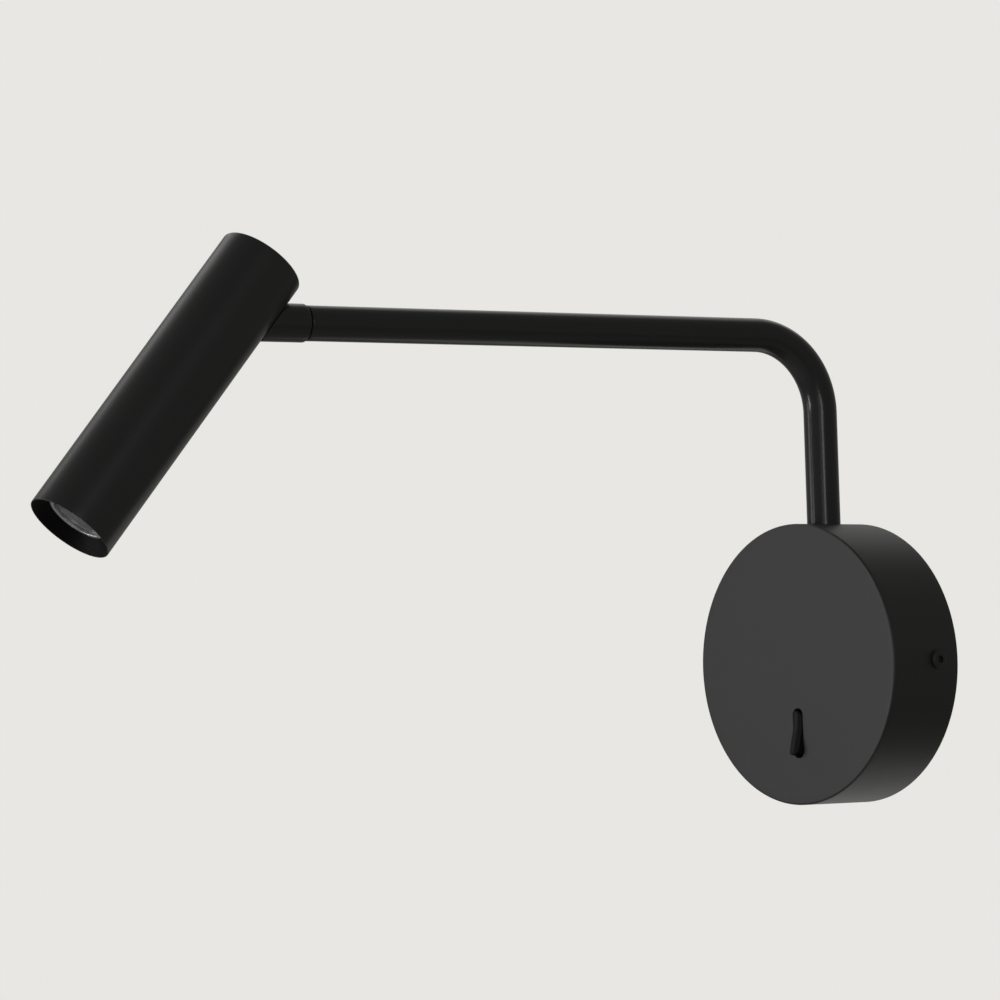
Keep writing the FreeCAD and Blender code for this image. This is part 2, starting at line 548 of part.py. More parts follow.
def knuckle():
    """Turned knuckle: hollow spigot, body mitred parallel to the head, tongue with eye."""
    body_l = PIVOT_REACH - KNUCKLE_START
    body = rod(KNUCKLE_R, body_l, V(0, body_l, 0), -Y_AXIS)
    start = edges_at(body, lambda c, e: abs(c.y - body_l) < 1e-6 and e.BoundBox.XLength > KNUCKLE_R)
    body = body.makeFillet(0.3, start)
    mitre = box(-HEAD_D, HEAD_D, -3 * HEAD_D, 3 * HEAD_D, -SHOULDER_OFFSET, 3 * HEAD_D)
    mitre.rotate(V(0, 0, 0), X_AXIS, TILT_REST)
    body = body.cut(mitre)
    face_edge = [e for e in body.Edges if e.BoundBox.XLength > KNUCKLE_D - 0.7 and e.BoundBox.YLength > 3]
    body = body.makeFillet(0.4, face_edge)
    spigot_l = KNUCKLE_START - SPIGOT_START
    spigot = rod(SPIGOT_D / 2, spigot_l + 1, V(0, body_l + spigot_l, 0), -Y_AXIS)
    shape = body.fuse([spigot, tongue()])
    bore_end = EYE_R + 0.3
    shape = shape.cut(rod(LEAD_R + LEAD_FIT, 2 * PIVOT_REACH, V(0, bore_end + LEAD_BEND_R, 0), Y_AXIS))
    pocket = LEAD_R + LEAD_FIT
    shape = shape.cut(box(-pocket, pocket, bore_end - 0.3, bore_end + LEAD_BEND_R + 1.2, -pocket, TONGUE_TOP + 1))
    shape = shape.cut(rod(PIVOT_PIN_D / 2 + RUN_FIT, TONGUE_T + 2, V(-TONGUE_T / 2 - 1, 0, 0), X_AXIS))
    return on_knuckle(shape.removeSplitter())


def swivel_washer():
    """Washer at the bottom of the shadow gap between tube and knuckle."""
    return on_arm_line(ring(SPIGOT_D / 2 + RUN_FIT, GROOVE_WASHER_D / 2, GROOVE_W - 2 * FACE_GAP,
                            V(0, -ARM_REACH - FACE_GAP, 0), -Y_AXIS))


def swivel_stop():
    """Keyed ring on the spigot whose tab meets the bush lug."""
    r = STOP_RING_D / 2
    collar = ring(SPIGOT_D / 2 + SEAT_FIT, r, STOP_RING_T, V(0, -STOP_RING_START, 0), -Y_AXIS)
    y0, y1 = -STOP_RING_START, -STOP_RING_START - STOP_RING_T
    tip = TUBE_IN_R - LEAD_FIT
    tab = Part.Face(Part.makePolygon([V(0, y0, r - 0.3), V(0, y1, r - 0.3), V(0, y1, tip), V(0, y0, tip),
                                      V(0, y0, r - 0.3)])).revolve(V(0, 0, 0), Y_AXIS, STOP_TAB_DEG)
    tab.rotate(V(0, 0, 0), Y_AXIS, -STOP_TAB_DEG / 2)
    return on_arm_line(collar.fuse(tab).removeSplitter())


def swivel_nut():
    """Lock nut that sets the swivel friction."""
    nut = hex_prism(NUT_AF, NUT_T, V(0, -NUT_START, 0), -Y_AXIS)
    return on_arm_line(nut.cut(rod(SPIGOT_D / 2 + SEAT_FIT, 3 * NUT_T, V(0, -NUT_START + NUT_T, 0), -Y_AXIS)))


def knuckle_lead():
    """Lead through the spigot, turned up out of the tongue before the eye."""
    turn_y = EYE_R + LEAD_R + LEAD_FIT
    start = PIVOT_REACH - SPIGOT_START - FACE_GAP
    return on_knuckle(route([V(0, start, 0), V(0, turn_y, 0), V(0, turn_y, TONGUE_TOP)], LEAD_R, LEAD_R + 0.6))


# ---------------------------------------------------------------- head
def head_along(s):
    """Place on the head axis, s from the pivot towards the aperture."""
    return V(0, -s, 0)


def slot_ends():
    """Rear and front end of the head slot, from the tongue's edges at both tilt limits."""
    low, high = radians(TILT_REST), radians(TILT_MAX)
    rear = (TONGUE_TOP + HEAD_R * cos(low)) / sin(low) + SIDE_FIT
    front = (TONGUE_BOTTOM - HEAD_IN_R * cos(high)) / sin(high) + SIDE_FIT
    return rear, front


def head_tube():
    """Head tube with the knuckle slot in its underside."""
    tube = ring(HEAD_IN_R, HEAD_R, HEAD_REAR + HEAD_FRONT, head_along(-HEAD_REAR), -Y_AXIS)
    rear_edge = edges_at(tube, lambda c, e: abs(c.y - HEAD_REAR) < 1e-6 and e.BoundBox.XLength > HEAD_D - 1e-3)
    tube = tube.makeFillet(min(REAR_EDGE_R, HEAD_WALL * 0.8), rear_edge)
    rim_edges = edges_at(tube, lambda c, e: abs(c.y + HEAD_FRONT) < 1e-6)
    tube = tube.makeFillet(min(RIM_EDGE_R, HEAD_WALL * 0.4), rim_edges)
    rear, front = slot_ends()
    half = TONGUE_T / 2 + SIDE_FIT
    slot = box(-half, half, -front, rear, -HEAD_D, 0)
    corners = edges_at(slot, lambda c, e: e.BoundBox.ZLength > HEAD_D - 1e-6)
    return on_head(tube.cut(slot.makeFillet(2 * SIDE_FIT, corners)))


def rear_cap():
    """Turned plug that closes the rear of the head."""
    cap = rod(INNER_R, CAP_T, head_along(-HEAD_REAR + CAP_RECESS), -Y_AXIS)
    edge = edges_at(cap, lambda c, e: c.y > HEAD_REAR - CAP_RECESS - 1e-6 and e.BoundBox.XLength > HEAD_IN_R)
    return on_head(cap.makeFillet(0.3, edge))


def pivot_yoke():
    """Block in the head whose two cheeks carry the pivot pin."""
    block = rod(INNER_R, YOKE_REAR + YOKE_FRONT, head_along(-YOKE_REAR), -Y_AXIS)
    block = block.cut(box(-CHEEK_X, CHEEK_X, -EYE_R - 1, YOKE_REAR + 1, -HEAD_D, EYE_R + 1))
    block = block.cut(rod(PIVOT_PIN_D / 2 + SEAT_FIT, HEAD_D, V(-HEAD_D / 2, 0, 0), X_AXIS))
    channel = rod(LEAD_R + LEAD_FIT, YOKE_REAR + YOKE_FRONT + 2,
                  head_along(-YOKE_REAR - 1) + V(0, 0, HEAD_LEAD_OFFSET), -Y_AXIS)
    return on_head(block.cut(channel))


def pivot_pin():
    """Steel pin through the cheeks and the knuckle eye."""
    pin = rod(PIVOT_PIN_D / 2, PIVOT_PIN_L, V(-PIVOT_PIN_L / 2, 0, 0), X_AXIS)
    ends = edges_at(pin, lambda c, e: abs(abs(c.x) - PIVOT_PIN_L / 2) < 1e-6)
    return on_head(pin.makeChamfer(0.3, ends))


def tilt_washers():
    """Friction washers between the eye and the cheeks."""
    start = TONGUE_T / 2 + FACE_GAP / 2
    return on_head(Part.makeCompound([
        ring(PIVOT_PIN_D / 2 + RUN_FIT, TILT_WASHER_D / 2, TILT_WASHER_T, V(side * start, 0, 0), V(side, 0, 0))
        for side in (-1, 1)]))


def heat_sink():
    """Finned aluminium plug behind the LED board."""
    rear = SINK_FRONT - SINK_L
    base = rod(INNER_R, SINK_BASE_T, head_along(SINK_FRONT - SINK_BASE_T), -Y_AXIS)
    parts = [rod(SINK_CORE_R, SINK_L, head_along(rear), -Y_AXIS)]
    for k in range(FIN_COUNT):
        fin = box(-FIN_T / 2, FIN_T / 2, -SINK_FRONT + SINK_BASE_T / 2, -rear, SINK_CORE_R - 1, INNER_R)
        fin = fin.common(rod(INNER_R, SINK_L, head_along(rear), -Y_AXIS))
        fin.rotate(V(0, 0, 0), Y_AXIS, (k + 0.5) * 360 / FIN_COUNT)
        parts.append(fin)
    sink = base.fuse(parts).removeSplitter()
    lead = V(0, 0, HEAD_LEAD_OFFSET)
    sink = sink.cut(rod(LEAD_R + LEAD_FIT, SINK_L + 2, head_along(rear - 1) + lead, -Y_AXIS))
    for side in (-1, 1):
        sink = sink.cut(rod(BOARD_SCREW_D / 2 + RUN_FIT, SINK_BASE_T + 1,
                            head_along(SINK_FRONT - SINK_BASE_T - 0.5) + V(side * BOARD_SCREW_PITCH / 2, 0, 0), -Y_AXIS))
    return on_head(sink)


def led_board():
    """Round metal-core board."""
    board = rod(BOARD_D / 2, BOARD_T, head_along(SINK_FRONT), -Y_AXIS)
    for side in (-1, 1):
        board = board.cut(rod(BOARD_SCREW_D / 2 + 0.1, BOARD_T,
                              head_along(SINK_FRONT) + V(side * BOARD_SCREW_PITCH / 2, 0, 0), -Y_AXIS))
    return on_head(board)


def led_chip():
    """Round light-emitting area of the LED."""
    return on_head(rod(CHIP_D / 2, CHIP_T, head_along(BOARD_FRONT), -Y_AXIS))


def board_screws():
    """Two pan-head screws that clamp the board to the heat sink."""
    screws = []
    for side in (-1, 1):
        out = V(side * BOARD_SCREW_PITCH / 2, 0, 0)
        shank = rod(BOARD_SCREW_D / 2, SINK_BASE_T + BOARD_T, head_along(SINK_FRONT - SINK_BASE_T) + out, -Y_AXIS)
        head = rod(BOARD_SCREW_HEAD_D / 2, BOARD_SCREW_HEAD_H, head_along(BOARD_FRONT) + out, -Y_AXIS)
        screws.append(shank.fuse(head).removeSplitter())
    return on_head(Part.makeCompound(screws))


def lens_holder():
    """Black barrel: cavity over the board, lens seat and the glare cone to the rim."""
    rim, lip = HEAD_FRONT - BAFFLE_RIM_SETBACK, INNER_R - BAFFLE_LIP
    seat_r = LENS_D / 2 + RUN_FIT
    profile = [(SINK_FRONT, INNER_R), (rim, INNER_R), (rim, lip), (LENS_FRONT, seat_r), (LENS_SEAT, seat_r),
               (LENS_SEAT, LENS_D / 2 - 1.2), (LENS_BACK, LENS_SMALL_D / 2 + 1.2),
               (LENS_BACK, BOARD_D / 2 + 0.5), (SINK_FRONT, BOARD_D / 2 + 0.5)]
    return on_head(turned(profile))


def lens():
    """Clear collimating lens: flange, raised front disc, cone and LED pocket."""
    flange_front = LENS_SEAT + LENS_FLANGE_T
    r, step_r = LENS_D / 2, LENS_STEP_D / 2
    profile = [(LENS_BACK + 4.0, 0), (LENS_BACK + 3.2, 2.6), (LENS_BACK, 3.2), (LENS_BACK, LENS_SMALL_D / 2),
               (LENS_SEAT, r - 1.7), (LENS_SEAT, r), (flange_front, r), (flange_front, step_r),
               (flange_front + LENS_STEP_H, step_r - 0.3), (flange_front + LENS_STEP_H, 0)]
    return on_head(turned(profile))


def lens_ring():
    """Bright retaining ring over the lens flange."""
    r = LENS_D / 2
    plain = ring(r - LENS_RING_W, r, LENS_RING_T - FACE_GAP, head_along(LENS_FRONT - LENS_RING_T + FACE_GAP), -Y_AXIS)
    edges = edges_at(plain, lambda c, e: c.y < -LENS_FRONT + 1e-6)
    return on_head(plain.makeFillet(0.2, edges))


def head_lead():
    """Lead from the joint round into the yoke channel and on to the LED board."""
    z = HEAD_LEAD_OFFSET
    loop = YOKE_REAR + 5.5
    return on_head(route([V(0, YOKE_REAR + 1.4, 0.4), V(0, loop + 1.0, 4.6), V(0, loop - 1.2, z),
                          V(0, -SINK_FRONT, z)], LEAD_R, LEAD_BEND_R))


# ---------------------------------------------------------------- rocker switch
def switch_body():
    """Switch case behind the front wall, with the rocker's cavity and trunnion holes."""
    half_w = SLOT_W / 2 + SWITCH_WALL
    half_h = SLOT_H / 2 + SWITCH_WALL
    case = box(-half_w, half_w, -FRONT_IN_Y, -FRONT_IN_Y + SWITCH_DEPTH, SWITCH_Z - half_h, SWITCH_Z + half_h)
    case = case.cut(box(-SLOT_W / 2, SLOT_W / 2, -FRONT_IN_Y, -FRONT_IN_Y + SWITCH_CAVITY,
                        SWITCH_Z - SLOT_H / 2, SWITCH_Z + SLOT_H / 2))
    pivot = V(-half_w - 1, -HOUSING_DEPTH + ROCKER_PIVOT_DEPTH, SWITCH_Z)
    return case.cut(rod(ROCKER_PIN_D / 2 + RUN_FIT, 2 * half_w + 2, pivot, X_AXIS))


def switch_blades():
    """Two blade terminals at the back of the switch."""
    back = -FRONT_IN_Y + SWITCH_DEPTH
    return Part.makeCompound([box(-BLADE_W / 2, BLADE_W / 2, back, back + BLADE_L,
                                  SWITCH_Z + dz - BLADE_T / 2, SWITCH_Z + dz + BLADE_T / 2)
                              for dz in (-SLOT_H / 4, SLOT_H / 4)])


def switch_rocker():
    """Slim kinked paddle on two trunnions; its lower half stands out at rest."""
    half = ROCKER_HALF_H
    face = -HOUSING_DEPTH
    outline = [(face - ROCKER_PROUD_TOP, half), (face - ROCKER_PROUD_MID, ROCKER_KINK_Z),
               (face - ROCKER_PROUD_BOTTOM, -half + 0.4), (face - ROCKER_PROUD_BOTTOM + 1.2, -half),
               (face + FRONT_WALL + 0.6, -half), (face + ROCKER_PIVOT_DEPTH + 2.2, -1.8),
               (face + ROCKER_PIVOT_DEPTH + 2.2, 1.8), (face + FRONT_WALL + 0.6, half)]
    paddle = prism([V(-ROCKER_W / 2, y, SWITCH_Z + z) for y, z in outline], V(ROCKER_W, 0, 0))
    front = edges_at(paddle, lambda c, e: abs(abs(c.x) - ROCKER_W / 2) < 1e-6 and c.y < face
                     and e.BoundBox.ZLength > 4)
    paddle = paddle.makeFillet(0.5, front)
    length = SLOT_W + SWITCH_WALL
    pivot = V(-length / 2, face + ROCKER_PIVOT_DEPTH, SWITCH_Z)
    return paddle.fuse(rod(ROCKER_PIN_D / 2, length, pivot, X_AXIS)).removeSplitter()


PARTS = [housing, wall_bracket, cover_screws, cable_grommet, earth_screw, terminal_block, terminal_screws,
         led_driver, driver_screws, arm_bearing, bearing_screws, base_lead,
         arm_tube, arm_plug, swing_washer, thrust_ring, swivel_bush, arm_lead,
         knuckle, swivel_washer, swivel_stop, swivel_nut, knuckle_lead,
         head_tube, rear_cap, pivot_yoke, pivot_pin, tilt_washers, heat_sink, led_board, led_chip, board_screws,
         lens_holder, lens, lens_ring, head_lead,
         switch_body, switch_blades, switch_rocker]


def main():
    """Build every piece and write one STEP file each."""
    os.makedirs("parts", exist_ok=True)
    for make in PARTS:
        shape = make()
        if not shape.isValid():
            print("not valid:", make.__name__)
        shape.exportStep("parts/" + make.__name__ + ".step")
        b = shape.BoundBox
        print("%-16s solids %d  volume %9.1f  x %7.1f %7.1f  y %7.1f %7.1f  z %7.1f %7.1f" % (
            make.__name__, len(shape.Solids), shape.Volume, b.XMin, b.XMax, b.YMin, b.YMax, b.ZMin, b.ZMax))


main()
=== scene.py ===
"""Looks of the bedside wall reading lamp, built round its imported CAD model.

model.glb gives every rigid piece in its place. This script replaces the pieces that show with
finely divided surfaces worked out with numpy, gives every piece a procedural finish, and sets
the camera, the floor and the soft boxes. Lengths are millimetres until a mesh is written.
"""
import logging
from collections.abc import Callable
from dataclasses import dataclass, field
from enum import Enum
from math import ceil, cos, pi, radians, sin, sqrt, tan

import bmesh
import bpy
import numpy as np
from mathutils import Matrix, Vector


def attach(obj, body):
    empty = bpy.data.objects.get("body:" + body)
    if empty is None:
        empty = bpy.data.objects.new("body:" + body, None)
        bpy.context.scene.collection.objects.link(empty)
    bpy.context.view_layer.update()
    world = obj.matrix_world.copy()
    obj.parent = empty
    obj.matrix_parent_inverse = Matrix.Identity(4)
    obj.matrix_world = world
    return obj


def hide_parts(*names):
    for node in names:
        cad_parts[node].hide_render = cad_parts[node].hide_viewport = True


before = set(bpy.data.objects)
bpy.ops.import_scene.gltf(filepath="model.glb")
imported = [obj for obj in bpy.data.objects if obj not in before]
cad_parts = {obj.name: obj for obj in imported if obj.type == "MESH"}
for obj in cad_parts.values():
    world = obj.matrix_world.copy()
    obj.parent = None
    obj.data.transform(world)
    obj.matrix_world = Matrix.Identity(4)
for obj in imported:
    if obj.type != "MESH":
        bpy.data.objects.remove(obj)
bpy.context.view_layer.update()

LOG = logging.getLogger("lamp")
MM = 0.001
MERGE = 1e-7               # metres, closes seams and poles
POLE = 1e-4                # an end row smaller than this is a pole, without a face
SHARP_DEG = 32.0           # edges that turn more than this stay crisp
CLEAR = 1.0                # how far a cutter or a joined end runs past what it meets
MITRE_LIMIT = 0.3          # keeps the corners of a shrunken outline from shooting out
NOISE_SPAN = (0.25, 0.75)  # where most values of a noise texture lie
# Radii of edges, from hardly broken to plainly round.
BARE, BROKEN, EASED, SOFT, ROUND = 0.05, 0.1, 0.15, 0.2, 0.4
Array = np.ndarray
Corner = tuple[float, float, float]


# ---------------------------------------------------------------- colour and nodes
def linear(hex_colour: str) -> tuple[float, float, float, float]:
    """Turn an sRGB hex colour into the linear colour that shaders take.

    Args:
        hex_colour: Colour as "#rrggbb".

    Returns:
        Red, green, blue and alpha, linear.
    """
    srgb = np.array([int(hex_colour[i:i + 2], 16) for i in (1, 3, 5)]) / 255
    values = np.where(srgb <= 0.04045, srgb / 12.92, ((srgb + 0.055) / 1.055) ** 2.4)
    return (*map(float, values), 1.0)


def add_node(tree: bpy.types.NodeTree, kind: str, settings: dict | None = None,
             sockets: dict | None = None) -> bpy.types.Node:
    """Add a node with its settings and its input values or links.

    Args:
        tree: Node tree of a material or the world.
        kind: Blender's name of the node type.
        settings: Properties of the node.
        sockets: Input name or number, with a value or the output that feeds it.

    Returns:
        The new node.
    """
    node = tree.nodes.new(kind)
    for key, value in (settings or {}).items():
        setattr(node, key, value)
    for key, value in (sockets or {}).items():
        if isinstance(value, bpy.types.NodeSocket):
            tree.links.new(value, node.inputs[key])
        else:
            node.inputs[key].default_value = value
    return node


class Grain(Enum):
    """How a surface was made, which picks the pattern of its fine relief."""

    POWDER = "baked powder coat"
    SPANGLE = "zinc plating"
    LINES = "cut or drawn metal"
    MOULDED = "spark-eroded mould"
    POLISHED = "polished"
    GRIT = "filled resin"


GRAIN_NODES: dict[Grain, tuple[str, dict]] = {
    Grain.POWDER: ("ShaderNodeTexNoise", {"Detail": 3.0, "Roughness": 0.55}),
    Grain.SPANGLE: ("ShaderNodeTexVoronoi", {"Randomness": 1.0}),
    Grain.LINES: ("ShaderNodeTexNoise", {"Detail": 4.0, "Roughness": 0.65}),
    Grain.MOULDED: ("ShaderNodeTexNoise", {"Detail": 6.0, "Roughness": 0.7}),
    Grain.POLISHED: ("ShaderNodeTexNoise", {"Detail": 1.0, "Roughness": 0.4}),
    Grain.GRIT: ("ShaderNodeTexVoronoi", {"Randomness": 0.9}),
}


@dataclass(frozen=True)
class Finish:
    """One real material with the way its surface was made.

    The colour drifts slowly between two tones. The fine grain, of its real size, moves the
    roughness about its middle value and lifts the surface by a few microns.
    """

    name: str
    tone: str
    second_tone: str
    roughness: float
    grain: Grain = Grain.POWDER
    grain_mm: float = 0.4
    relief_mm: float = 0.004
    spread: float = 0.04
    drift_mm: float = 30.0
    stretch: tuple[float, float, float] = (1.0, 1.0, 1.0)
    shader: dict[str, float] = field(default_factory=dict)

    def build(self) -> bpy.types.Material:
        """Make the node material.

        Returns:
            The material, made once for each name.
        """
        made = bpy.data.materials.get(self.name)
        if made:
            return made
        material = bpy.data.materials.new(self.name)
        material.use_nodes = True
        tree = material.node_tree
        tree.nodes.clear()
        place = add_node(tree, "ShaderNodeTexCoord").outputs["Object"]
        turned = add_node(tree, "ShaderNodeMapping", None,
                          {"Vector": place, "Scale": self.stretch})
        kind, sockets = GRAIN_NODES[self.grain]
        fine = add_node(tree, kind, None, {"Vector": turned.outputs[0],
                                           "Scale": 1 / (self.grain_mm * MM)} | sockets)
        slow = add_node(tree, "ShaderNodeTexNoise", None,
                        {"Vector": place, "Scale": 1 / (self.drift_mm * MM), "Detail": 2.0})
        colour = add_node(tree, "ShaderNodeMix", {"data_type": "RGBA"},
                          {0: slow.outputs[0], 6: linear(self.tone), 7: linear(self.second_tone)})
        roughness = add_node(tree, "ShaderNodeMapRange", None,
                             {"Value": fine.outputs[0],
                              "From Min": NOISE_SPAN[0], "From Max": NOISE_SPAN[1],
                              "To Min": self.roughness - self.spread,
                              "To Max": self.roughness + self.spread})
        bump = add_node(tree, "ShaderNodeBump", None,
                        {"Strength": 1.0, "Distance": self.relief_mm * MM,
                         "Height": fine.outputs[0]})
        surface = add_node(tree, "ShaderNodeBsdfPrincipled", None,
                           {"Base Color": colour.outputs[2], "Roughness": roughness.outputs[0],
                            "Normal": bump.outputs[0]} | self.shader)
        add_node(tree, "ShaderNodeOutputMaterial", None, {"Surface": surface.outputs[0]})
        return material


# Polyester powder coat, baked: dead-matt black with the faint orange peel of melted grains.
POWDER_COAT = Finish("powder_coated_steel_matt_black", "#171717", "#191919", 0.5,
                     relief_mm=0.003, shader={"Specular IOR Level": 0.2})
# The same coat rolled thinner on tube: smoother, so that lamps draw soft lines along it.
SATIN_COAT = Finish("powder_coated_steel_satin_black", "#1f1f1f", "#212121", 0.21,
                    relief_mm=0.001, spread=0.03, shader={"Specular IOR Level": 0.115})
# The same coat on the wide head barrel, a little duller, so that its edges glow softly.
BARREL_COAT = Finish("powder_coated_aluminium_satin_black", "#1f1f1f", "#212121", 0.33,
                     relief_mm=0.0015, shader={"Specular IOR Level": 0.12})
# Zinc-plated steel, blue passivated: cool grey with a faint spangle.
ZINC = Finish("zinc_plated_steel_passivated", "#aeb2b8", "#bdbfc0", 0.34, Grain.SPANGLE, 1.6,
              0.0008, 0.06, 12.0, shader={"Metallic": 1.0})
# Steel screws blackened in a hot oxide bath: dark, slightly oily, not quite matt.
BLACK_OXIDE = Finish("carbon_steel_black_oxide", "#1b1b1b", "#1e1e1e", 0.5, Grain.MOULDED, 0.25,
                     0.001, 0.05, 4.0, shader={"Specular IOR Level": 0.14})
# Free-cutting brass, turned: yellow with fine tool lines.
BRASS = Finish("brass_turned", "#c8a45a", "#b8924a", 0.27, Grain.LINES, 0.5, 0.001, 0.07, 8.0,
               (1.0, 1.0, 6.0), {"Metallic": 1.0})
# Aluminium, cut on a lathe or mill: bright with fine lines.
ALUMINIUM = Finish("aluminium_machined", "#c6c9cc", "#b9bcc0", 0.3, Grain.LINES, 0.6, 0.001,
                   0.08, 10.0, (1.0, 6.0, 1.0), {"Metallic": 1.0})
# PBT moulded in a spark-eroded tool: warm white, even and matt.
WHITE_PBT = Finish("pbt_white_moulded", "#e6e4dd", "#dfdcd3", 0.5, Grain.MOULDED, 0.3, 0.004,
                   0.05, 15.0)
# ABS moulded with a fine texture: black with a soft sheen.
BLACK_ABS = Finish("abs_black_moulded", "#0a0a0a", "#0d0d0d", 0.5, Grain.MOULDED, 0.25, 0.002,
                   0.05, 10.0, shader={"Specular IOR Level": 0.07})
# Polycarbonate, moulded with a satin skin: a deep black that swallows stray light.
DEEP_BLACK = Finish("polycarbonate_satin_black_moulded", "#050505", "#070707", 0.55,
                    Grain.POLISHED, 1.2, 0.001, 0.03, 10.0, shader={"Specular IOR Level": 0.03})
# EPDM rubber, moulded: black, soft and dull.
RUBBER = Finish("epdm_rubber_moulded", "#1b1b1b", "#222120", 0.72, Grain.MOULDED, 0.35, 0.006,
                0.06, 6.0)
# Nylon washers, punched from sheet: black with a waxy sheen.
NYLON = Finish("nylon_black_punched", "#060606", "#080808", 0.5, Grain.MOULDED, 0.2, 0.001,
               0.04, 5.0, shader={"Specular IOR Level": 0.12})
# PMMA lens from a lightly etched tool: hazy, so that the chip behind shows only as a soft grey.
CLEAR_PMMA = Finish("pmma_clear_moulded", "#9fa1a1", "#979999", 0.3, Grain.MOULDED, 0.2, 0.0015,
                    0.03, 20.0, shader={"Transmission Weight": 0.75, "IOR": 1.49})
# Brass ring, turned and satin chrome plated: a thin bright line with a soft sheen.
CHROME = Finish("brass_chrome_plated", "#dfe1e4", "#d6d8db", 0.3, Grain.LINES, 0.4, 0.0003, 0.04,
                6.0, (1.0, 5.0, 1.0), {"Metallic": 1.0})
# Silicone filled with phosphor, cast: opaque yellow with fine grains.
PHOSPHOR = Finish("silicone_phosphor_cast", "#e6c65a", "#d9b64a", 0.45, Grain.GRIT, 0.15, 0.004,
                  0.05, 3.0)
# PVC sleeve, extruded: grey-black and smooth.
PVC_SLEEVE = Finish("pvc_sleeve_extruded", "#1f1f1f", "#262626", 0.48, Grain.LINES, 0.6, 0.002,
                    0.05, 8.0)

# Finishes of the CAD nodes that still show as they are.
CAD_FINISHES: dict[str, Finish] = {
    "wall_bracket": ZINC, "cable_grommet": RUBBER, "earth_screw": ZINC,
    "terminal_block": WHITE_PBT, "terminal_screws": BRASS, "led_driver": WHITE_PBT,
    "driver_screws": ZINC, "arm_bearing": ALUMINIUM, "bearing_screws": ZINC,
    "base_lead": PVC_SLEEVE, "switch_body": BLACK_ABS, "switch_blades": BRASS,
    "arm_plug": BRASS, "swing_washer": NYLON, "thrust_ring": ZINC, "swivel_bush": BRASS,
    "arm_lead": PVC_SLEEVE, "swivel_washer": NYLON, "swivel_stop": ZINC, "swivel_nut": ZINC,
    "knuckle_lead": PVC_SLEEVE, "pivot_yoke": ALUMINIUM, "pivot_pin": ZINC,
    "tilt_washers": NYLON, "heat_sink": ALUMINIUM, "led_board": ALUMINIUM,
    "led_chip": PHOSPHOR, "board_screws": ZINC, "head_lead": PVC_SLEEVE,
}


# ---------------------------------------------------------------- places
@dataclass(frozen=True)
class Place:
    """A turn followed by a shift, from where a piece is drawn to where it sits."""

    turn: Array = field(default_factory=lambda: np.eye(3))
    shift: tuple[float, float, float] = (0.0, 0.0, 0.0)

    def apply(self, points: Array) -> Array:
        """Move points, given as rows of millimetres."""
        return points @ self.turn.T + np.array(self.shift)

    def then(self, later: "Place") -> "Place":
        """Join two moves, this one first."""
        return Place(later.turn @ self.turn, tuple(later.apply(np.array([self.shift]))[0]))


def about(axis: int, degrees: float) -> Array:
    """Give the matrix of a turn about the x, y or z axis.

    Args:
        axis: 0, 1 or 2 for x, y or z.
        degrees: Angle, right-handed.

    Returns:
        The 3 by 3 matrix.
    """
    c, s = cos(radians(degrees)), sin(radians(degrees))
    i, j = (axis + 1) % 3, (axis + 2) % 3
    matrix = np.eye(3)
    matrix[i, i], matrix[i, j], matrix[j, i], matrix[j, j] = c, -s, s, c
    return matrix


SWING_REST, TILT_REST = 7.6, 50.5
ARM_AXIS_Y, ARM_HEIGHT, PIVOT_REACH = 15.0, 117.5, 242.5
HERE = Place()
ON_ARM = Place(about(2, -SWING_REST), (0.0, -ARM_AXIS_Y, 0.0))
ON_KNUCKLE = Place(shift=(0.0, -PIVOT_REACH, ARM_HEIGHT)).then(ON_ARM)
ON_HEAD = Place(about(0, TILT_REST)).then(ON_KNUCKLE)
# Rows give x, y and z from a cut-out's width, length and height above its plane.
FACING_FRONT = np.array([[1, 0, 0], [0, 0, -1], [0, 1, 0]], float)
FACING_UP = np.eye(3)
FACING_DOWN = np.array([[1, 0, 0], [0, 1, 0], [0, 0, -1]], float)
FACING_SIDE = np.array([[0, 0, 1], [0, 1, 0], [1, 0, 0]], float)


# ---------------------------------------------------------------- outlines
def rounded(corners: list[Corner], closed: bool = False, arc_deg: float = 9.0,
            step: float = 4.0) -> Array:
    """Draw a line through corners, with an arc of each corner's radius.

    An arc starts the radius times tan(half the turn) before its corner, and its centre lies the
    radius to the side that the line turns to. Long runs are divided evenly.

    Args:
        corners: Two coordinates and the radius of each corner.
        closed: Whether the last corner joins the first.
        arc_deg: Largest angle between two points of an arc.
        step: Longest run between two points.

    Returns:
        Points as rows of two coordinates.
    """
    spots = np.array([c[:2] for c in corners], float)
    pieces = []
    for k, (a, b, radius) in enumerate(corners):
        here = np.array([a, b], float)
        if radius <= 0 or (not closed and k in (0, len(corners) - 1)):
            pieces.append(here[None])
            continue
        before, after = here - spots[k - 1], spots[(k + 1) % len(spots)] - here
        before, after = before / np.hypot(*before), after / np.hypot(*after)
        cross = before[0] * after[1] - before[1] * after[0]
        turn = np.arctan2(abs(cross), before @ after)
        side = np.sign(cross) * np.array([-before[1], before[0]])
        angle = np.linspace(0, turn, max(3, ceil(np.degrees(turn) / arc_deg) + 1))[:, None]
        start = here - before * radius * tan(turn / 2)
        pieces.append(start + side * radius * (1 - np.cos(angle))
                      + before * radius * np.sin(angle))
    line = np.concatenate(pieces + ([pieces[0][:1]] if closed else []))
    runs = [np.linspace(p, q, max(1, ceil(np.hypot(*(q - p)) / step)), endpoint=False)
            for p, q in zip(line, line[1:])]
    return np.concatenate(runs if closed else runs + [line[-1:]])


def rod(low: float, high: float, radius: float) -> Array:
    """Give the profile of a plain cylinder from one distance along its axis to another."""
    return np.array([[low, 0], [low, radius], [high, radius], [high, 0]], float)


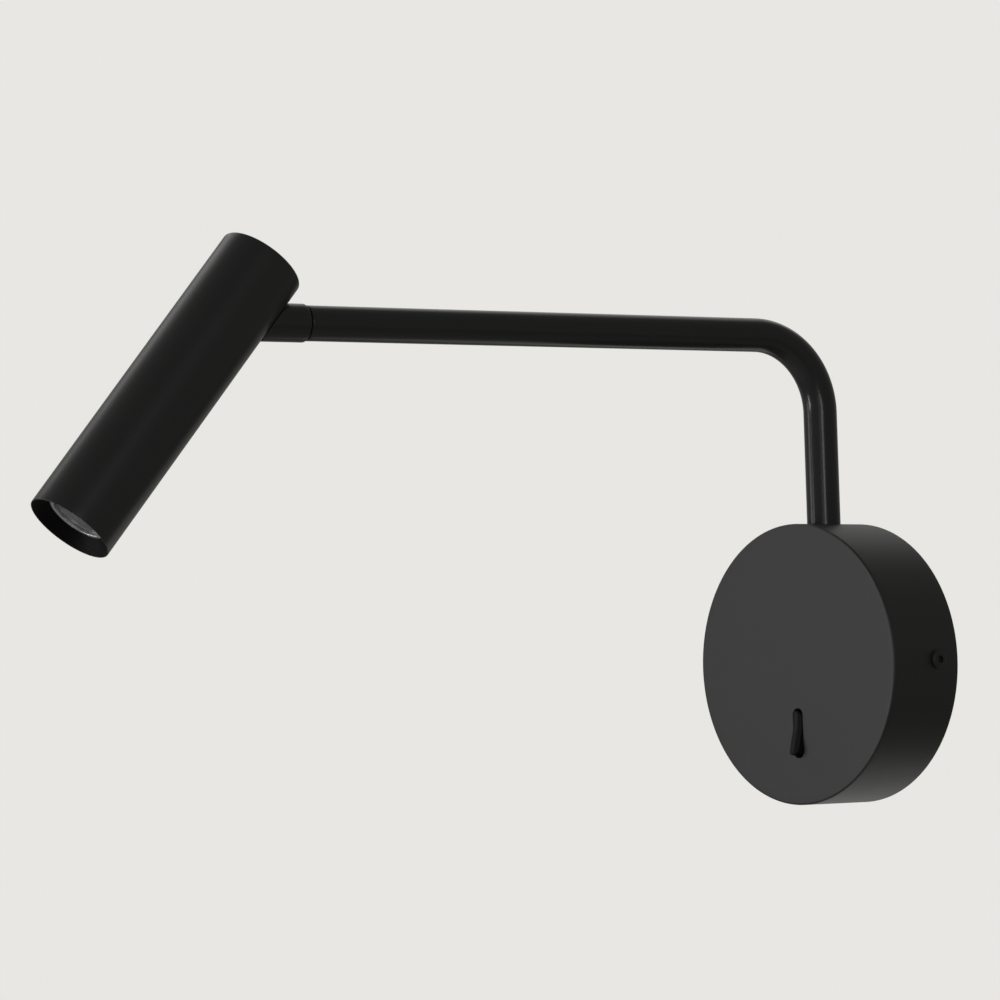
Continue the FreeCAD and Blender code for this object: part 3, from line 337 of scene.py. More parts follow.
def inset(outline: Array, distance: Array) -> Array:
    """Shrink a closed outline, each point along the mean of its two edges' inward normals.

    Args:
        outline: Points in order, anticlockwise.
        distance: How far to shrink, one value for each copy.

    Returns:
        Copies, points and two coordinates.
    """
    edge = np.roll(outline, -1, 0) - outline
    edge /= np.linalg.norm(edge, axis=1, keepdims=True)
    normal = np.stack([-edge[:, 1], edge[:, 0]], -1)
    normal = normal + np.roll(normal, 1, 0)
    normal /= np.maximum((normal ** 2).sum(1, keepdims=True) / 2, MITRE_LIMIT)
    return outline + distance[:, None, None] * normal


# ---------------------------------------------------------------- solids
@dataclass(frozen=True)
class BentLine:
    """Centre line of the arm: up, a quarter bend, then level; flat bends have no radius."""

    rise: float
    bend_r: float

    def frames(self, s: Array) -> tuple[Array, Array]:
        """Find the centre line and its normal at distances along it.

        On the bend the line is the bend's centre plus the radius times (cos, sin) of the angle
        gone through, and the normal is that direction. Before and after, both run on straight.

        Args:
            s: Distances from the foot.

        Returns:
            Points and unit normals in the plane of the bend, as rows.
        """
        arc = self.bend_r * pi / 2
        angle = np.clip((s - self.rise) / self.bend_r, 0, pi / 2)
        ahead = np.maximum(s - self.rise - arc, 0)
        zero = np.zeros_like(s)
        point = np.stack([zero, self.bend_r * (np.cos(angle) - 1) - ahead,
                          np.minimum(s, self.rise) + self.bend_r * np.sin(angle)], -1)
        return point, np.stack([zero, np.cos(angle), np.sin(angle)], -1)


@dataclass(frozen=True)
class StraightLine:
    """Axis of a turned piece, drawn from the origin towards -y."""

    def frames(self, s: Array) -> tuple[Array, Array]:
        """Find points and unit normals at distances along the axis, as rows."""
        zero = np.zeros_like(s)
        return np.stack([zero, -s, zero], -1), np.stack([zero, zero, zero + 1], -1)


def solid(name: str, grid: Array, place: Place = HERE,
          closed: bool = False) -> bpy.types.Object:
    """Make a closed mesh from rows of points that each run round the piece.

    Each row joins the next, and its last point its first. The end rows are closed by a flat face,
    or where they lie on the axis by merging to a pole. Faces are turned outwards by the sign of
    the volume.

    Args:
        name: Name of the piece.
        grid: Rows, points round, and x, y, z in millimetres.
        place: Where the piece sits.
        closed: Whether the last row joins the first.

    Returns:
        The object, at the origin, with its place in its mesh.
    """
    rows, columns = grid.shape[:2]
    index = np.arange(rows * columns).reshape(rows, columns)
    low, high = (index, np.roll(index, -1, 0)) if closed else (index[:-1], index[1:])
    faces = np.stack([low, np.roll(low, -1, 1), np.roll(high, -1, 1), high], -1)
    faces = faces.reshape(-1, 4).tolist()
    if not closed:
        faces += [row.tolist() for row, line in ((index[0][::-1], grid[0]), (index[-1], grid[-1]))
                  if np.ptp(line, axis=0).max() > POLE]
    mesh = bpy.data.meshes.new(name)
    mesh.from_pydata(place.apply(grid.reshape(-1, 3)) * MM, [], faces)
    shape = bmesh.new()
    shape.from_mesh(mesh)
    bmesh.ops.remove_doubles(shape, verts=shape.verts, dist=MERGE)
    if shape.calc_volume(signed=True) < 0:
        bmesh.ops.reverse_faces(shape, faces=shape.faces)
    shape.to_mesh(mesh)
    shape.free()
    piece = bpy.data.objects.new(name, mesh)
    bpy.context.scene.collection.objects.link(piece)
    return piece


def turned(name: str, profile: Array, place: Place = HERE, closed: bool = False,
           line: BentLine | StraightLine = StraightLine(), segments: int = 96) -> bpy.types.Object:
    """Carry a profile round and along a centre line.

    A point is the line's point at the profile's distance, plus the profile's radius times
    (cos of the angle along x + sin of the angle along the line's normal).

    Args:
        name: Name of the piece.
        profile: Rows of distance along the line and radius.
        place: Where the piece sits.
        closed: Whether the profile is a closed loop clear of the axis.
        line: The centre line.
        segments: Points round.

    Returns:
        The piece.
    """
    centre, normal = line.frames(profile[:, 0])
    angle = np.linspace(0, 2 * pi, segments, endpoint=False)[None, :, None]
    across = np.cos(angle) * np.array([1.0, 0, 0]) + np.sin(angle) * normal[:, None, :]
    return solid(name, centre[:, None, :] + profile[:, 1][:, None, None] * across, place, closed)


def opening(half_w: float, half_l: float, corner_r: float, surface: Callable[[Array], Array],
            depth: float, facing: Array, shift: tuple[float, float, float],
            flare: float) -> bpy.types.Object:
    """Make the cutter of an opening whose mouth is softly rounded.

    The outline is a rectangle with round corners, widened by the flare times (1 - the square root
    of 1 - (1 - depth / flare) squared) near the surface, which is a quarter circle.

    Args:
        half_w: Half the width.
        half_l: Half the length.
        corner_r: Radius of the corners; a round hole has it equal to both halves.
        surface: Height of the cut surface over the width.
        depth: How deep the cutter goes below the surface.
        facing: Axes of the cutter.
        shift: Centre of the opening's plane.
        flare: Radius of the mouth.

    Returns:
        The cutter.
    """
    quarter = np.linspace(0, pi / 2, 13)
    angle = (quarter[None, :] + np.arange(4)[:, None] * pi / 2).ravel()
    way = np.stack([np.cos(angle), np.sin(angle)], -1)
    sign = np.repeat(np.array([[1, 1], [-1, 1], [-1, -1], [1, -1]]), len(quarter), 0)
    centre = sign * np.array([half_w - corner_r, half_l - corner_r])
    mouth = 1 - np.cos(np.linspace(0, pi / 2, 6))
    down = np.concatenate([[-2 * CLEAR], flare * mouth, [depth]])
    wide = flare * (1 - np.sqrt(1 - np.clip(1 - down / flare, 0, 1) ** 2))
    flat = centre[None] + (corner_r + wide)[:, None, None] * way[None]
    height = surface(flat[..., 0]) - down[:, None]
    return solid("cutter", np.concatenate([flat, height[..., None]], -1), Place(facing, shift))


def triangulate(piece: bpy.types.Object) -> None:
    """Split a piece's faces into triangles, which are flat, as a clean cut needs."""
    shape = bmesh.new()
    shape.from_mesh(piece.data)
    bmesh.ops.triangulate(shape, faces=shape.faces)
    shape.to_mesh(piece.data)
    shape.free()


def combine(piece: bpy.types.Object, tool: bpy.types.Object,
            operation: str = "DIFFERENCE") -> None:
    """Cut a tool out of a piece or add it, write the result to the piece and delete the tool.

    Args:
        piece: Piece that changes.
        tool: The other solid.
        operation: DIFFERENCE or UNION.
    """
    triangulate(piece)
    triangulate(tool)
    modifier = piece.modifiers.new("combine", "BOOLEAN")
    modifier.operation, modifier.solver, modifier.object = operation, "MANIFOLD", tool
    view = bpy.context.evaluated_depsgraph_get()
    mesh = bpy.data.meshes.new_from_object(piece.evaluated_get(view))
    piece.modifiers.clear()
    old, piece.data = piece.data, mesh
    bpy.data.meshes.remove(old)
    mesh.name = piece.name
    bpy.data.meshes.remove(tool.data)


def hand_over(piece: bpy.types.Object, finish: Finish, body: str, slot: str,
              *nodes: str) -> None:
    """Shade a finished piece, give it its finish and put it in the place of its CAD nodes.

    Args:
        piece: The piece.
        finish: Its finish.
        body: CAD body that it rides on.
        slot: Not used.
        nodes: CAD nodes that it stands for.
    """
    piece.data.materials.clear()
    piece.data.materials.append(finish.build())
    piece.data.shade_smooth()
    piece.data.set_sharp_from_angle(angle=radians(SHARP_DEG))
    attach(piece, body)
    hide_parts(*nodes)
    LOG.info("%s: %d faces on %s, %s", piece.name, len(piece.data.polygons), body, finish.name)


# ---------------------------------------------------------------- sub-assemblies
@dataclass(frozen=True)
class WallHousing:
    """Spun cup on the wall with its rocker slot, arm hole and two cover screws."""

    radius: float = 50.0
    depth: float = 31.0
    rim_wall: float = 1.5
    front_wall: float = 2.0
    edge_r: float = 0.7
    inner_edge_r: float = 0.4
    arm_hole_r: float = 6.4
    slot_half_w: float = 2.5
    slot_half_h: float = 8.75
    slot_corner_r: float = 2.3
    slot_z: float = -24.5
    mouth_r: float = 0.15
    screw_y: float = 10.0
    screw_hole_r: float = 2.2
    screw_r: float = 2.0
    screw_l: float = 7.0
    screw_head_r: float = 3.3
    screw_head_h: float = 1.6
    screw_crown_r: float = 0.96
    socket_across: float = 2.5
    socket_floor: float = 0.4
    segments: int = 256

    def rim_height(self, across: Array) -> Array:
        """Height of the round rim over a distance from its crown: the circle's equation."""
        return np.sqrt(self.radius ** 2 - across ** 2)

    def cup(self) -> bpy.types.Object:
        """Turn the cup and cut its openings.

        Returns:
            The housing.
        """
        inside = self.radius - self.rim_wall
        floor = self.depth - self.front_wall
        profile = rounded([(self.depth, 0, 0), (self.depth, self.radius, self.edge_r),
                           (0, self.radius, EASED), (0, inside, EASED),
                           (floor, inside, self.inner_edge_r), (floor, 0, 0)], step=3.0)
        cup = turned("wall_housing", profile, segments=self.segments)
        combine(cup, opening(self.slot_half_w, self.slot_half_h, self.slot_corner_r,
                             lambda u: np.full_like(u, self.depth), self.front_wall + 2 * CLEAR,
                             FACING_FRONT, (0, 0, self.slot_z), self.mouth_r))
        hole, screw_hole = [self.arm_hole_r] * 3, [self.screw_hole_r] * 3
        combine(cup, opening(*hole, self.rim_height, self.rim_wall + 3 * CLEAR, FACING_UP,
                             (0, -ARM_AXIS_Y, 0), self.mouth_r))
        for side in (1.0, -1.0):
            combine(cup, opening(*screw_hole, self.rim_height, self.rim_wall + 2 * CLEAR,
                                 FACING_SIDE * np.array([[side], [1], [1]]),
                                 (0, -self.screw_y, 0), self.mouth_r))
        return cup

    def screw(self, side: int) -> bpy.types.Object:
        """Turn one button-head screw and sink its hexagon socket.

        Args:
            side: 1 for +x, -1 for -x.

        Returns:
            The screw, pointing outwards from the rim.
        """
        place = Place(about(2, 90.0 * side), (side * self.radius, -self.screw_y, 0))
        profile = rounded([(-self.screw_l, 0, 0), (-self.screw_l, self.screw_r, ROUND),
                           (0, self.screw_r, 0), (0, self.screw_head_r, BROKEN),
                           (self.screw_head_h, self.screw_head_r, self.screw_crown_r),
                           (self.screw_head_h, 0, 0)], step=1.0)
        screw = turned("cover_screw", profile, place, segments=64)
        socket = rod(self.socket_floor, self.screw_head_h + CLEAR, self.socket_across / sqrt(3))
        combine(screw, turned("cutter", socket, place, segments=6))
        return screw

    def build(self) -> None:
        """Make the housing and both screws, and put them in place of their nodes."""
        hand_over(self.cup(), POWDER_COAT, "base", "black_paint", "housing")
        screws, other = self.screw(1), self.screw(-1)
        combine(screws, other, "UNION")
        screws.name = "cover_screw_pair"
        hand_over(screws, BLACK_OXIDE, "base", "black_oxide", "cover_screws")


@dataclass(frozen=True)
class BentArm:
    """Bent steel tube of the arm."""

    radius: float = 6.0
    wall: float = 1.0
    foot: float = 21.2
    rise: float = 90.0
    bend_r: float = 27.5
    reach: float = 210.2
    groove_z: float = 44.05
    groove_w: float = 1.2
    groove_depth: float = 0.4
    end_r: float = 0.35

    def build(self) -> None:
        """Carry the tube's wall along the bent line and put it in place of its node."""
        end = self.rise + self.bend_r * pi / 2 + self.reach - self.bend_r
        outer, inner, low = self.radius, self.radius - self.wall, self.radius - self.groove_depth
        groove_end = self.groove_z + self.groove_w
        profile = rounded([(self.foot, inner, BROKEN), (self.foot, outer, self.end_r),
                           (self.groove_z, outer, 0), (self.groove_z, low, 0),
                           (groove_end, low, 0), (groove_end, outer, 0),
                           (end, outer, self.end_r), (end, inner, BROKEN)],
                          closed=True, step=1.5)
        tube = turned("arm_bent_tube", profile, ON_ARM, True, BentLine(self.rise, self.bend_r))
        hand_over(tube, SATIN_COAT, "arm", "black_paint", "arm_tube")


@dataclass(frozen=True)
class KnuckleJoint:
    """Turned knuckle, coped to the round of the head, with its spigot, tongue and eye."""

    radius: float = 6.5
    start: float = 31.5
    start_r: float = 0.4
    cope_edge_r: float = 0.2
    cope_r: float = 15.2
    tilt_max: float = 90.0
    spigot_r: float = 3.0
    spigot_l: float = 20.3
    tongue_half: float = 4.0
    tongue_top: float = 5.0
    tongue_bottom: float = 2.0
    eye_r: float = 6.0
    pin_hole_r: float = 2.05
    bore_r: float = 1.3
    bore_end: float = 8.8
    pocket: tuple[float, float] = (-1.3, 6.0)
    pocket_at: tuple[float, float, float] = (0.0, 8.0, 0.0)
    edge_r: float = 0.25
    face_share: float = 0.93
    segments: int = 96

    def cope(self, x: Array, z: Array) -> Array:
        """Find the end of the knuckle, which clears a round head over the whole tilt.

        Beside the head's axis by x, the head's surface stands off by the circle's equation. At a
        tilt it cuts height z at (stand-off + z cos tilt) / sin tilt, which is largest at one of
        the two limits.

        Args:
            x: Distances beside the axis.
            z: Heights.

        Returns:
            Distances from the pivot along the arm.
        """
        off = np.sqrt(self.cope_r ** 2 - x ** 2)
        limits = radians(TILT_REST), radians(self.tilt_max)
        return np.maximum(*((off + z * cos(tilt)) / sin(tilt) for tilt in limits))

    def body(self) -> bpy.types.Object:
        """Make the coped body.

        A row is a ring of one radius. Its distance from the pivot goes from the straight start,
        in even shares along the side, to the cope. At both ends the edge follows a quarter
        circle, and inside it the rings of the end's face shrink to the axis.

        Returns:
            The body.
        """
        bend = np.linspace(0, pi / 2, 7)
        first = np.concatenate([[0.0], self.radius - self.start_r * (1 - np.sin(bend))])
        first_at = np.concatenate([[self.start], self.start - self.start_r * (1 - np.cos(bend))])
        face = np.linspace(self.face_share, 0, 12) * self.radius
        last = np.concatenate([self.radius - self.cope_edge_r * (1 - np.cos(bend)), face])
        last_gap = np.concatenate([self.cope_edge_r * (1 - np.sin(bend)), np.zeros_like(face)])
        side = np.linspace(0, 1, 12)[1:-1]
        along = np.full_like(side, self.start - self.start_r)
        radius = np.concatenate([first, np.full_like(side, self.radius), last])
        share = np.concatenate([np.zeros_like(first), side, np.ones_like(last)])
        straight = np.concatenate([first_at, along, np.zeros_like(last)])
        gap = np.concatenate([np.zeros_like(first), np.zeros_like(side), last_gap])
        angle = np.linspace(0, 2 * pi, self.segments, endpoint=False)
        x, z = radius[:, None] * np.cos(angle), radius[:, None] * np.sin(angle)
        end = self.cope(x, z) + gap[:, None]
        y = (1 - share)[:, None] * straight[:, None] + share[:, None] * end
        return solid("knuckle_coped", np.stack([x, y, z], -1), ON_KNUCKLE)

    def tongue(self) -> bpy.types.Object:
        """Make the tongue with its eye: one outline carried across, its edges eased.

        Returns:
            The tongue.
        """
        root = (self.cope_r + self.tongue_top) / sin(radians(TILT_REST)) + CLEAR
        low = 2 * pi - np.arcsin(self.tongue_bottom / self.eye_r)
        angle = np.linspace(pi / 2 - np.arccos(self.tongue_top / self.eye_r), low, 40)
        eye = self.eye_r * np.stack([np.cos(angle), np.sin(angle)], -1)
        bar = np.array([[root, -self.tongue_bottom], [root, self.tongue_top]])
        outline = np.concatenate([eye, bar])
        bend = np.linspace(0, pi / 2, 4)
        eased = self.edge_r * (1 - np.sin(bend))
        side = self.tongue_half - self.edge_r * (1 - np.cos(bend))
        flat = inset(outline, np.concatenate([eased, eased[::-1]]))
        across = np.concatenate([-side, side[::-1]])[:, None, None]
        grid = np.concatenate([np.broadcast_to(across, flat.shape[:2] + (1,)), flat], -1)
        return solid("tongue", grid, ON_KNUCKLE)

    def build(self) -> None:
        """Join spigot, body and tongue, drill them, and put them in place of the node."""
        knuckle = self.body()
        back = Place(about(2, 180)).then(ON_KNUCKLE)
        end, wide = self.start + self.spigot_l, self.tongue_half + CLEAR
        spigot = rod(self.start - CLEAR, end, self.spigot_r)
        combine(knuckle, turned("spigot", spigot, back, segments=64), "UNION")
        combine(knuckle, self.tongue(), "UNION")
        bore = rod(self.bore_end, end + CLEAR, self.bore_r)
        combine(knuckle, turned("cutter", bore, back, segments=32))
        pin, crosswise = rod(-wide, wide, self.pin_hole_r), Place(about(2, 90)).then(ON_KNUCKLE)
        combine(knuckle, turned("cutter", pin, crosswise, segments=48))
        square = Place(about(1, 45)).then(Place(about(0, -90), self.pocket_at)).then(ON_KNUCKLE)
        lead_pocket = rod(*self.pocket, self.bore_r * sqrt(2))
        combine(knuckle, turned("cutter", lead_pocket, square, segments=4))
        hand_over(knuckle, SATIN_COAT, "knuckle", "black_paint", "knuckle")


@dataclass(frozen=True)
class LampHead:
    """Head tube with its slot and rear cap, glare cone, lens and bright ring."""

    radius: float = 15.0
    wall: float = 1.3
    rear: float = -26.25
    front: float = 88.75
    rear_r: float = 0.9
    rim_r: float = 0.2
    rim_land: float = 0.4
    rim_seat: float = 1.0
    slot_half_w: float = 4.4
    slot_rear: float = 19.245
    slot_front: float = 2.4
    slot_corner_r: float = 0.8
    mouth_r: float = 0.15
    inner_r: float = 13.67
    cap_recess: float = 0.2
    cap_t: float = 3.6
    cap_edge_r: float = 0.3
    lens_front: float = 84.45
    ring_t: float = 1.55
    ring_w: float = 1.2
    ring_land: float = 0.5
    ring_dish: float = 0.1
    flange_t: float = 1.5
    flange_w: float = 1.7
    cone_l: float = 9.5
    lens_r: float = 10.5
    lens_fit: float = 0.05
    step_r: float = 8.5
    step_h: float = 0.5
    dome_r: float = 8.2
    dome_h: float = 0.8
    small_r: float = 4.8
    well_r: float = 3.2
    well_wall_h: float = 3.2
    well_h: float = 4.0
    well_top_r: float = 2.6
    well_edge_r: float = 0.6
    shelf_w: float = 1.2
    sink_front: float = 68.8
    board_hole_r: float = 11.5
    rim_setback: float = 0.2
    lip: float = 0.15
    lip_gap: float = 0.03

    @property
    def seat(self) -> float:
        """Distance of the lens seat from the pivot."""
        return self.lens_front - self.ring_t - self.flange_t

    @property
    def lens_back(self) -> float:
        """Distance of the lens's small end from the pivot."""
        return self.seat - self.cone_l

    def tube(self) -> bpy.types.Object:
        """Turn the head tube with its seat for the cone's lip, and cut the knuckle's slot.

        Returns:
            The tube.
        """
        inside, land = self.radius - self.wall, self.radius - self.rim_land
        seat = self.front - self.rim_seat
        profile = rounded([(self.rear, inside, EASED), (self.rear, self.radius, self.rear_r),
                           (self.front, self.radius, self.rim_r), (self.front, land, BROKEN),
                           (seat, land, 0), (seat, inside, 0)], closed=True, step=3.0)
        tube = turned("head_barrel", profile, ON_HEAD, True, segments=160)
        middle = (self.slot_rear - self.slot_front) / 2
        half = (self.slot_rear + self.slot_front) / 2
        place = Place(FACING_DOWN, (0, middle, 0)).then(ON_HEAD)
        combine(tube, opening(self.slot_half_w, half, self.slot_corner_r,
                              lambda u: np.sqrt(self.radius ** 2 - u ** 2), self.radius,
                              place.turn, place.shift, self.mouth_r))
        return tube

    def cap(self) -> bpy.types.Object:
        """Turn the plug that closes the rear."""
        back, front = self.rear + self.cap_recess, self.rear + self.cap_recess + self.cap_t
        profile = rounded([(back, 0, 0), (back, self.inner_r, self.cap_edge_r),
                           (front, self.inner_r, SOFT), (front, 0, 0)], step=2.0)
        return turned("head_rear_cap", profile, ON_HEAD, segments=128)

    def glare_cone(self) -> bpy.types.Object:
        """Turn the black barrel from the board to the thin lip that lines the rim.

        Returns:
            The lens holder.
        """
        seat_r, back = self.lens_r + self.lens_fit, self.lens_back
        rim, under = self.front - self.rim_setback, self.front - self.rim_seat + self.lip_gap
        edge = self.radius - self.rim_land - self.lip_gap
        profile = rounded([(self.sink_front, self.inner_r, SOFT), (under, self.inner_r, 0),
                           (under, edge, BARE), (rim, edge, BARE), (rim, edge - self.lip, BARE),
                           (self.lens_front, seat_r, SOFT), (self.seat, seat_r, 0),
                           (self.seat, self.lens_r - self.shelf_w, BROKEN),
                           (back, self.small_r + self.shelf_w, BROKEN),
                           (back, self.board_hole_r, BROKEN),
                           (self.sink_front, self.board_hole_r, BROKEN)], closed=True, step=0.8)
        return turned("glare_cone", profile, ON_HEAD, True, segments=160)

    def lens(self) -> bpy.types.Object:
        """Turn the clear lens: domed front disc, flange, cone and the well for the LED.

        The dome rises by its height times (1 - the square of the share of its radius).

        Returns:
            The lens.
        """
        front, back, r = self.seat + self.flange_t, self.lens_back, self.lens_r
        profile = rounded([(back + self.well_h, 0, 0),
                           (back + self.well_wall_h, self.well_top_r, self.well_edge_r),
                           (back, self.well_r, BROKEN), (back, self.small_r, BROKEN),
                           (self.seat, r - self.flange_w, BROKEN), (self.seat, r, BROKEN),
                           (front, r, BROKEN), (front, self.step_r, EASED),
                           (front + self.step_h, self.dome_r, 0)], step=0.8)
        share = np.linspace(1, 0, 16)[1:]
        rise = front + self.step_h + self.dome_h * (1 - share ** 2)
        dome = np.stack([rise, share * self.dome_r], -1)
        return turned("collimator_lens", np.concatenate([profile, dome]), ON_HEAD, segments=128)

    def bright_ring(self) -> bpy.types.Object:
        """Turn the retaining ring over the lens flange, with a land and a shallow dish."""
        low, high, r = self.lens_front - self.ring_t + self.lens_fit, self.lens_front, self.lens_r
        profile = rounded([(low, r - self.ring_w, BARE), (low, r, BARE), (high, r, EASED),
                           (high, r - self.ring_land, BROKEN),
                           (high - self.ring_dish, r - self.ring_w, BARE)], closed=True, step=0.3)
        return turned("bright_ring", profile, ON_HEAD, True, segments=160)

    def build(self) -> None:
        """Make the head's pieces and put them in place of their nodes."""
        hand_over(self.tube(), BARREL_COAT, "head", "black_paint", "head_tube")
        hand_over(self.cap(), BARREL_COAT, "head", "black_paint", "rear_cap")
        hand_over(self.glare_cone(), DEEP_BLACK, "head", "gloss_black", "lens_holder")
        hand_over(self.lens(), CLEAR_PMMA, "head", "lens_clear", "lens")
        hand_over(self.bright_ring(), CHROME, "head", "ring_chrome", "lens_ring")


@dataclass(frozen=True)
class RockerSwitch:
    """Slim kinked paddle with a round nose, on its trunnions."""

    face: float = -31.0
    centre_z: float = -24.5
    half_w: float = 2.2
    half_h: float = 7.8
    proud: tuple[float, float, float] = (1.0, 1.4, 3.6)
    kink_z: float = 1.2
    kink_r: float = 6.0
    tip_h: float = 0.4
    tip_back: float = 1.2
    tip_r: float = 0.5
    nose: float = 1.5
    end_r: float = 2.0
    end_half_w: float = 0.6
    pivot_depth: float = 3.7
    heel: float = 2.2
    trunnion_r: float = 1.0
    trunnion_half: float = 3.5

    def paddle(self) -> bpy.types.Object:
        """Stack level sections of the paddle from its lower to its upper end.

        A section's front is half an ellipse, its half-width times the sine and its nose times
        1 - the cosine. At both ends the half-width shrinks along a quarter circle, which rounds
        the paddle as seen from the front.

        Returns:
            The paddle.
        """
        top, middle, bottom = (self.face - proud for proud in self.proud)
        half = self.half_h
        front = rounded([(top, half, 0), (middle, self.kink_z, self.kink_r),
                         (bottom, self.tip_h - half, self.tip_r),
                         (bottom + self.tip_back, -half, 0)], step=0.25)[::-1]
        crest, z = front[:, :1], front[:, 1]
        over = np.clip((np.abs(z) - half + self.end_r) / self.end_r, 0, 1)
        wide = self.half_w - self.end_r + self.end_r * np.sqrt(1 - over ** 2)
        wide = wide.clip(self.end_half_w)[:, None]
        angle = np.linspace(-pi / 2, pi / 2, 33)[None]
        nose = self.nose * wide / self.half_w
        lip, deep = (crest + nose).max() + self.nose, self.face + self.pivot_depth + self.heel
        back = np.interp(z, [-half, -self.heel, self.heel, half], [lip, deep, deep, lip])[:, None]
        x = np.concatenate([wide * np.sin(angle), wide, -wide], 1)
        y = np.concatenate([crest + nose * (1 - np.cos(angle)), back, back], 1)
        grid = np.stack([x, y, np.broadcast_to(z[:, None], x.shape)], -1)
        return solid("rocker_paddle", grid, Place(shift=(0, 0, self.centre_z)))

    def build(self) -> None:
        """Add the trunnions to the paddle and put it in place of its node."""
        paddle = self.paddle()
        pin = rod(-self.trunnion_half, self.trunnion_half, self.trunnion_r)
        place = Place(about(2, 90), (0, self.face + self.pivot_depth, self.centre_z))
        combine(paddle, turned("trunnion", pin, place, segments=32), "UNION")
        hand_over(paddle, BLACK_ABS, "rocker", "black_plastic", "switch_rocker")


# ---------------------------------------------------------------- studio and camera
@dataclass(frozen=True)
class SoftBox:
    """Rectangular soft box, aimed at the lamp."""

    name: str
    azimuth: float
    elevation: float
    distance: float
    width: float
    height: float
    power: float
    aim: tuple[float, float, float] = (0.0, -0.12, 0.05)

    def build(self) -> None:
        """Add the light: azimuth from -y towards +x, elevation up, metres and watts."""
        light = bpy.data.lights.new(self.name, "AREA")
        light.shape, light.energy = "RECTANGLE", self.power
        light.size, light.size_y = self.width, self.height
        az, el = radians(self.azimuth), radians(self.elevation)
        way = Vector((sin(az) * cos(el), -cos(az) * cos(el), sin(el)))
        lamp = bpy.data.objects.new(self.name, light)
        lamp.location = Vector(self.aim) + way * self.distance
        lamp.rotation_euler = way.to_track_quat("Z", "Y").to_euler()
        lamp.visible_camera = False
        bpy.context.scene.collection.objects.link(lamp)


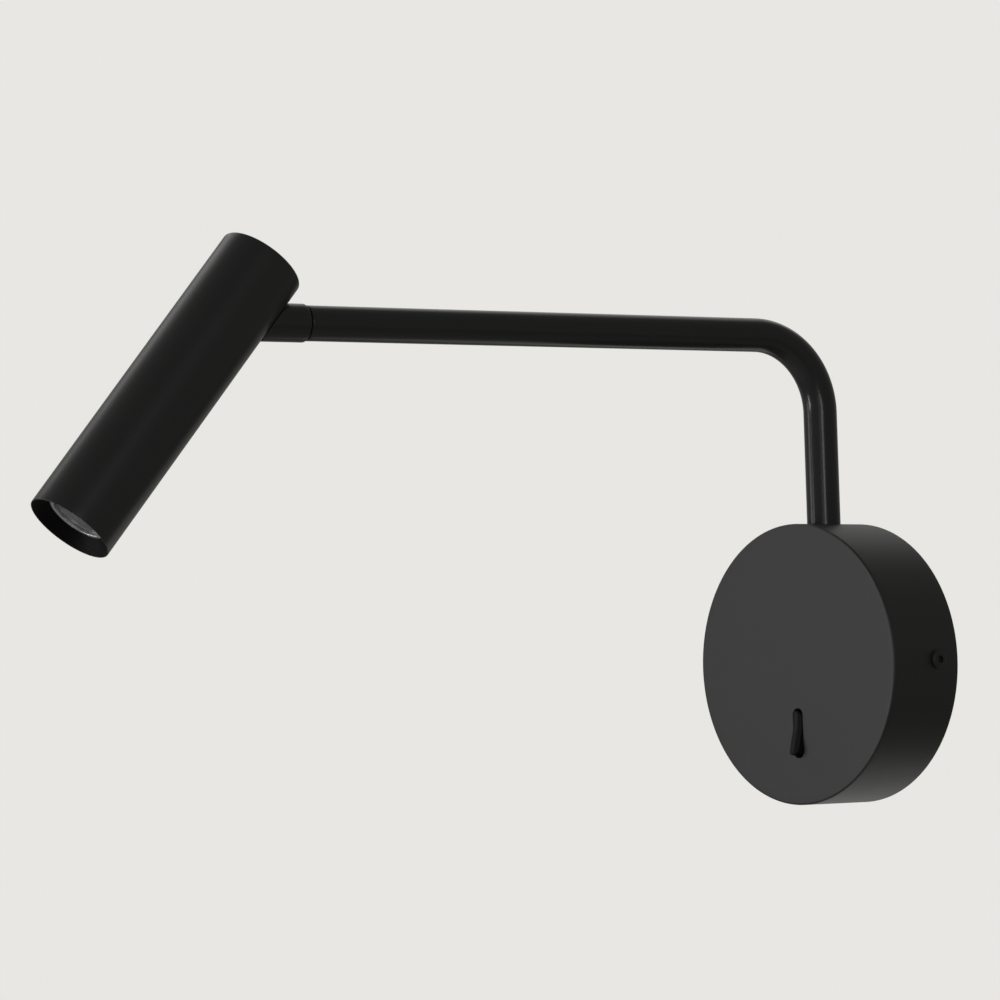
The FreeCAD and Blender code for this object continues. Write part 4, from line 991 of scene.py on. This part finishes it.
@dataclass(frozen=True)
class Studio:
    """Plain pale floor, pale surroundings and soft boxes."""

    pale: str = "#e8e7e3"
    floor_z: float = -1250.0
    floor_r: float = 4000.0
    floor_t: float = 10.0
    floor_roughness: float = 0.9
    floor_lift: float = 0.5
    fill: float = 0.21
    in_gloss: float = 0.5
    boxes: tuple[SoftBox, ...] = (
        SoftBox("key_front_left", -45.0, 12.0, 1.6, 0.4, 1.2, 8.0),
        SoftBox("side_left_high", -92.0, 45.0, 1.6, 1.0, 0.8, 5.1),
        SoftBox("low_front_strip", -25.0, -8.0, 1.6, 0.25, 0.5, 11.5),
        SoftBox("front_right_soft", 46.0, 5.0, 1.9, 0.35, 1.0, 2.0),
        SoftBox("front_right_strip", 63.0, 5.0, 1.9, 0.3, 1.0, 10.5),
        SoftBox("back_left_high", -145.5, 40.0, 1.6, 1.0, 1.0, 2.2),
        SoftBox("bounce_card_low", -151.5, -44.0, 0.36, 0.3, 0.3, 0.25, (0.0, 0.0, -0.02)),
    )

    def floor(self) -> None:
        """Lay the floor, a disc of rings, lifted where seen straight."""
        ring = np.linspace(0, self.floor_r, 12)
        angle = np.linspace(0, 2 * pi, 96, endpoint=False)
        flat = ring[:, None, None] * np.stack([np.cos(angle), np.sin(angle)], -1)[None]
        top = np.concatenate([flat, np.full(flat.shape[:2] + (1,), self.floor_z)], -1)
        below = top[::-1] - np.array([0, 0, self.floor_t])
        floor = solid("studio_floor", np.concatenate([top, below]))
        material = bpy.data.materials.new("paper_pale_matt")
        material.use_nodes = True
        tree = material.node_tree
        tree.nodes.clear()
        paper = add_node(tree, "ShaderNodeBsdfPrincipled", None,
                         {"Base Color": linear(self.pale), "Roughness": self.floor_roughness})
        path = add_node(tree, "ShaderNodeLightPath").outputs
        seen = add_node(tree, "ShaderNodeMath", {"operation": "MULTIPLY"},
                        {0: path["Is Camera Ray"], 1: self.floor_lift})
        lift = add_node(tree, "ShaderNodeEmission", None,
                        {"Color": linear(self.pale), "Strength": seen.outputs[0]})
        both = add_node(tree, "ShaderNodeAddShader", None,
                        {0: paper.outputs[0], 1: lift.outputs[0]})
        add_node(tree, "ShaderNodeOutputMaterial", None, {"Surface": both.outputs[0]})
        floor.data.materials.append(material)

    def world(self) -> None:
        """Light the surroundings: pale seen straight or through the lens, else dimmer."""
        world = bpy.data.worlds.new("pale_surroundings")
        bpy.context.scene.world = world
        world.use_nodes = True
        tree = world.node_tree
        tree.nodes.clear()
        path = add_node(tree, "ShaderNodeLightPath").outputs
        straight = add_node(tree, "ShaderNodeMath", {"operation": "MAXIMUM"},
                            {0: path["Is Camera Ray"], 1: path["Is Transmission Ray"]})
        fill, gloss, pale = (
            add_node(tree, "ShaderNodeBackground", None,
                     {"Color": linear(self.pale), "Strength": strength}).outputs[0]
            for strength in (self.fill, self.in_gloss, 1.0))
        soft = add_node(tree, "ShaderNodeMixShader", None,
                        {0: path["Is Glossy Ray"], 1: fill, 2: gloss})
        mixed = add_node(tree, "ShaderNodeMixShader", None,
                         {0: straight.outputs[0], 1: soft.outputs[0], 2: pale})
        add_node(tree, "ShaderNodeOutputWorld", None, {"Surface": mixed.outputs[0]})

    def build(self) -> None:
        """Set up floor, world, lights and the colour view."""
        self.floor()
        self.world()
        for box in self.boxes:
            box.build()
        bpy.context.scene.view_settings.view_transform = "Standard"


@dataclass(frozen=True)
class PhotoCamera:
    """Camera fitted to the photograph's outlines."""

    azimuth: float = 50.878
    elevation: float = -2.985
    roll: float = -1.723
    distance: float = 1543.865
    side: float = -127.494
    height: float = 62.612
    lens: float = 154.265
    sensor: float = 36.0
    clip: tuple[float, float] = (0.01, 50.0)

    def build(self) -> None:
        """Add the camera: it looks along -back, with its right and up turned by the roll."""
        az, el, roll = radians(self.azimuth), radians(self.elevation), radians(self.roll)
        back = Vector((sin(az) * cos(el), -cos(az) * cos(el), sin(el)))
        right = Vector((cos(az), sin(az), 0))
        up = back.cross(right)
        where = (right * self.side + up * self.height + back * self.distance) * MM
        turned_right = right * cos(roll) + up * sin(roll)
        turned_up = up * cos(roll) - right * sin(roll)
        data = bpy.data.cameras.new("photo_camera")
        data.lens, data.sensor_width = self.lens, self.sensor
        data.clip_start, data.clip_end = self.clip
        camera = bpy.data.objects.new("photo_camera", data)
        axes = Matrix((turned_right, turned_up, back)).transposed()
        camera.matrix_world = Matrix.Translation(where) @ axes.to_4x4()
        bpy.context.scene.collection.objects.link(camera)
        bpy.context.scene.camera = camera


# ---------------------------------------------------------------- making
def dress_nodes() -> None:
    """Give each CAD node that still shows its finish."""
    for name, finish in CAD_FINISHES.items():
        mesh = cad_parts[name].data
        mesh.materials.clear()
        mesh.materials.append(finish.build())
        LOG.info("%s: CAD node, %s", name, finish.name)


def main() -> None:
    """Build the camera, the studio and each sub-assembly in order."""
    logging.basicConfig(level=logging.INFO, format="%(name)s: %(message)s")
    PhotoCamera().build()
    Studio().build()
    for part in (WallHousing(), BentArm(), KnuckleJoint(), LampHead(), RockerSwitch()):
        part.build()
    dress_nodes()


if __name__ == "__main__":
    main()
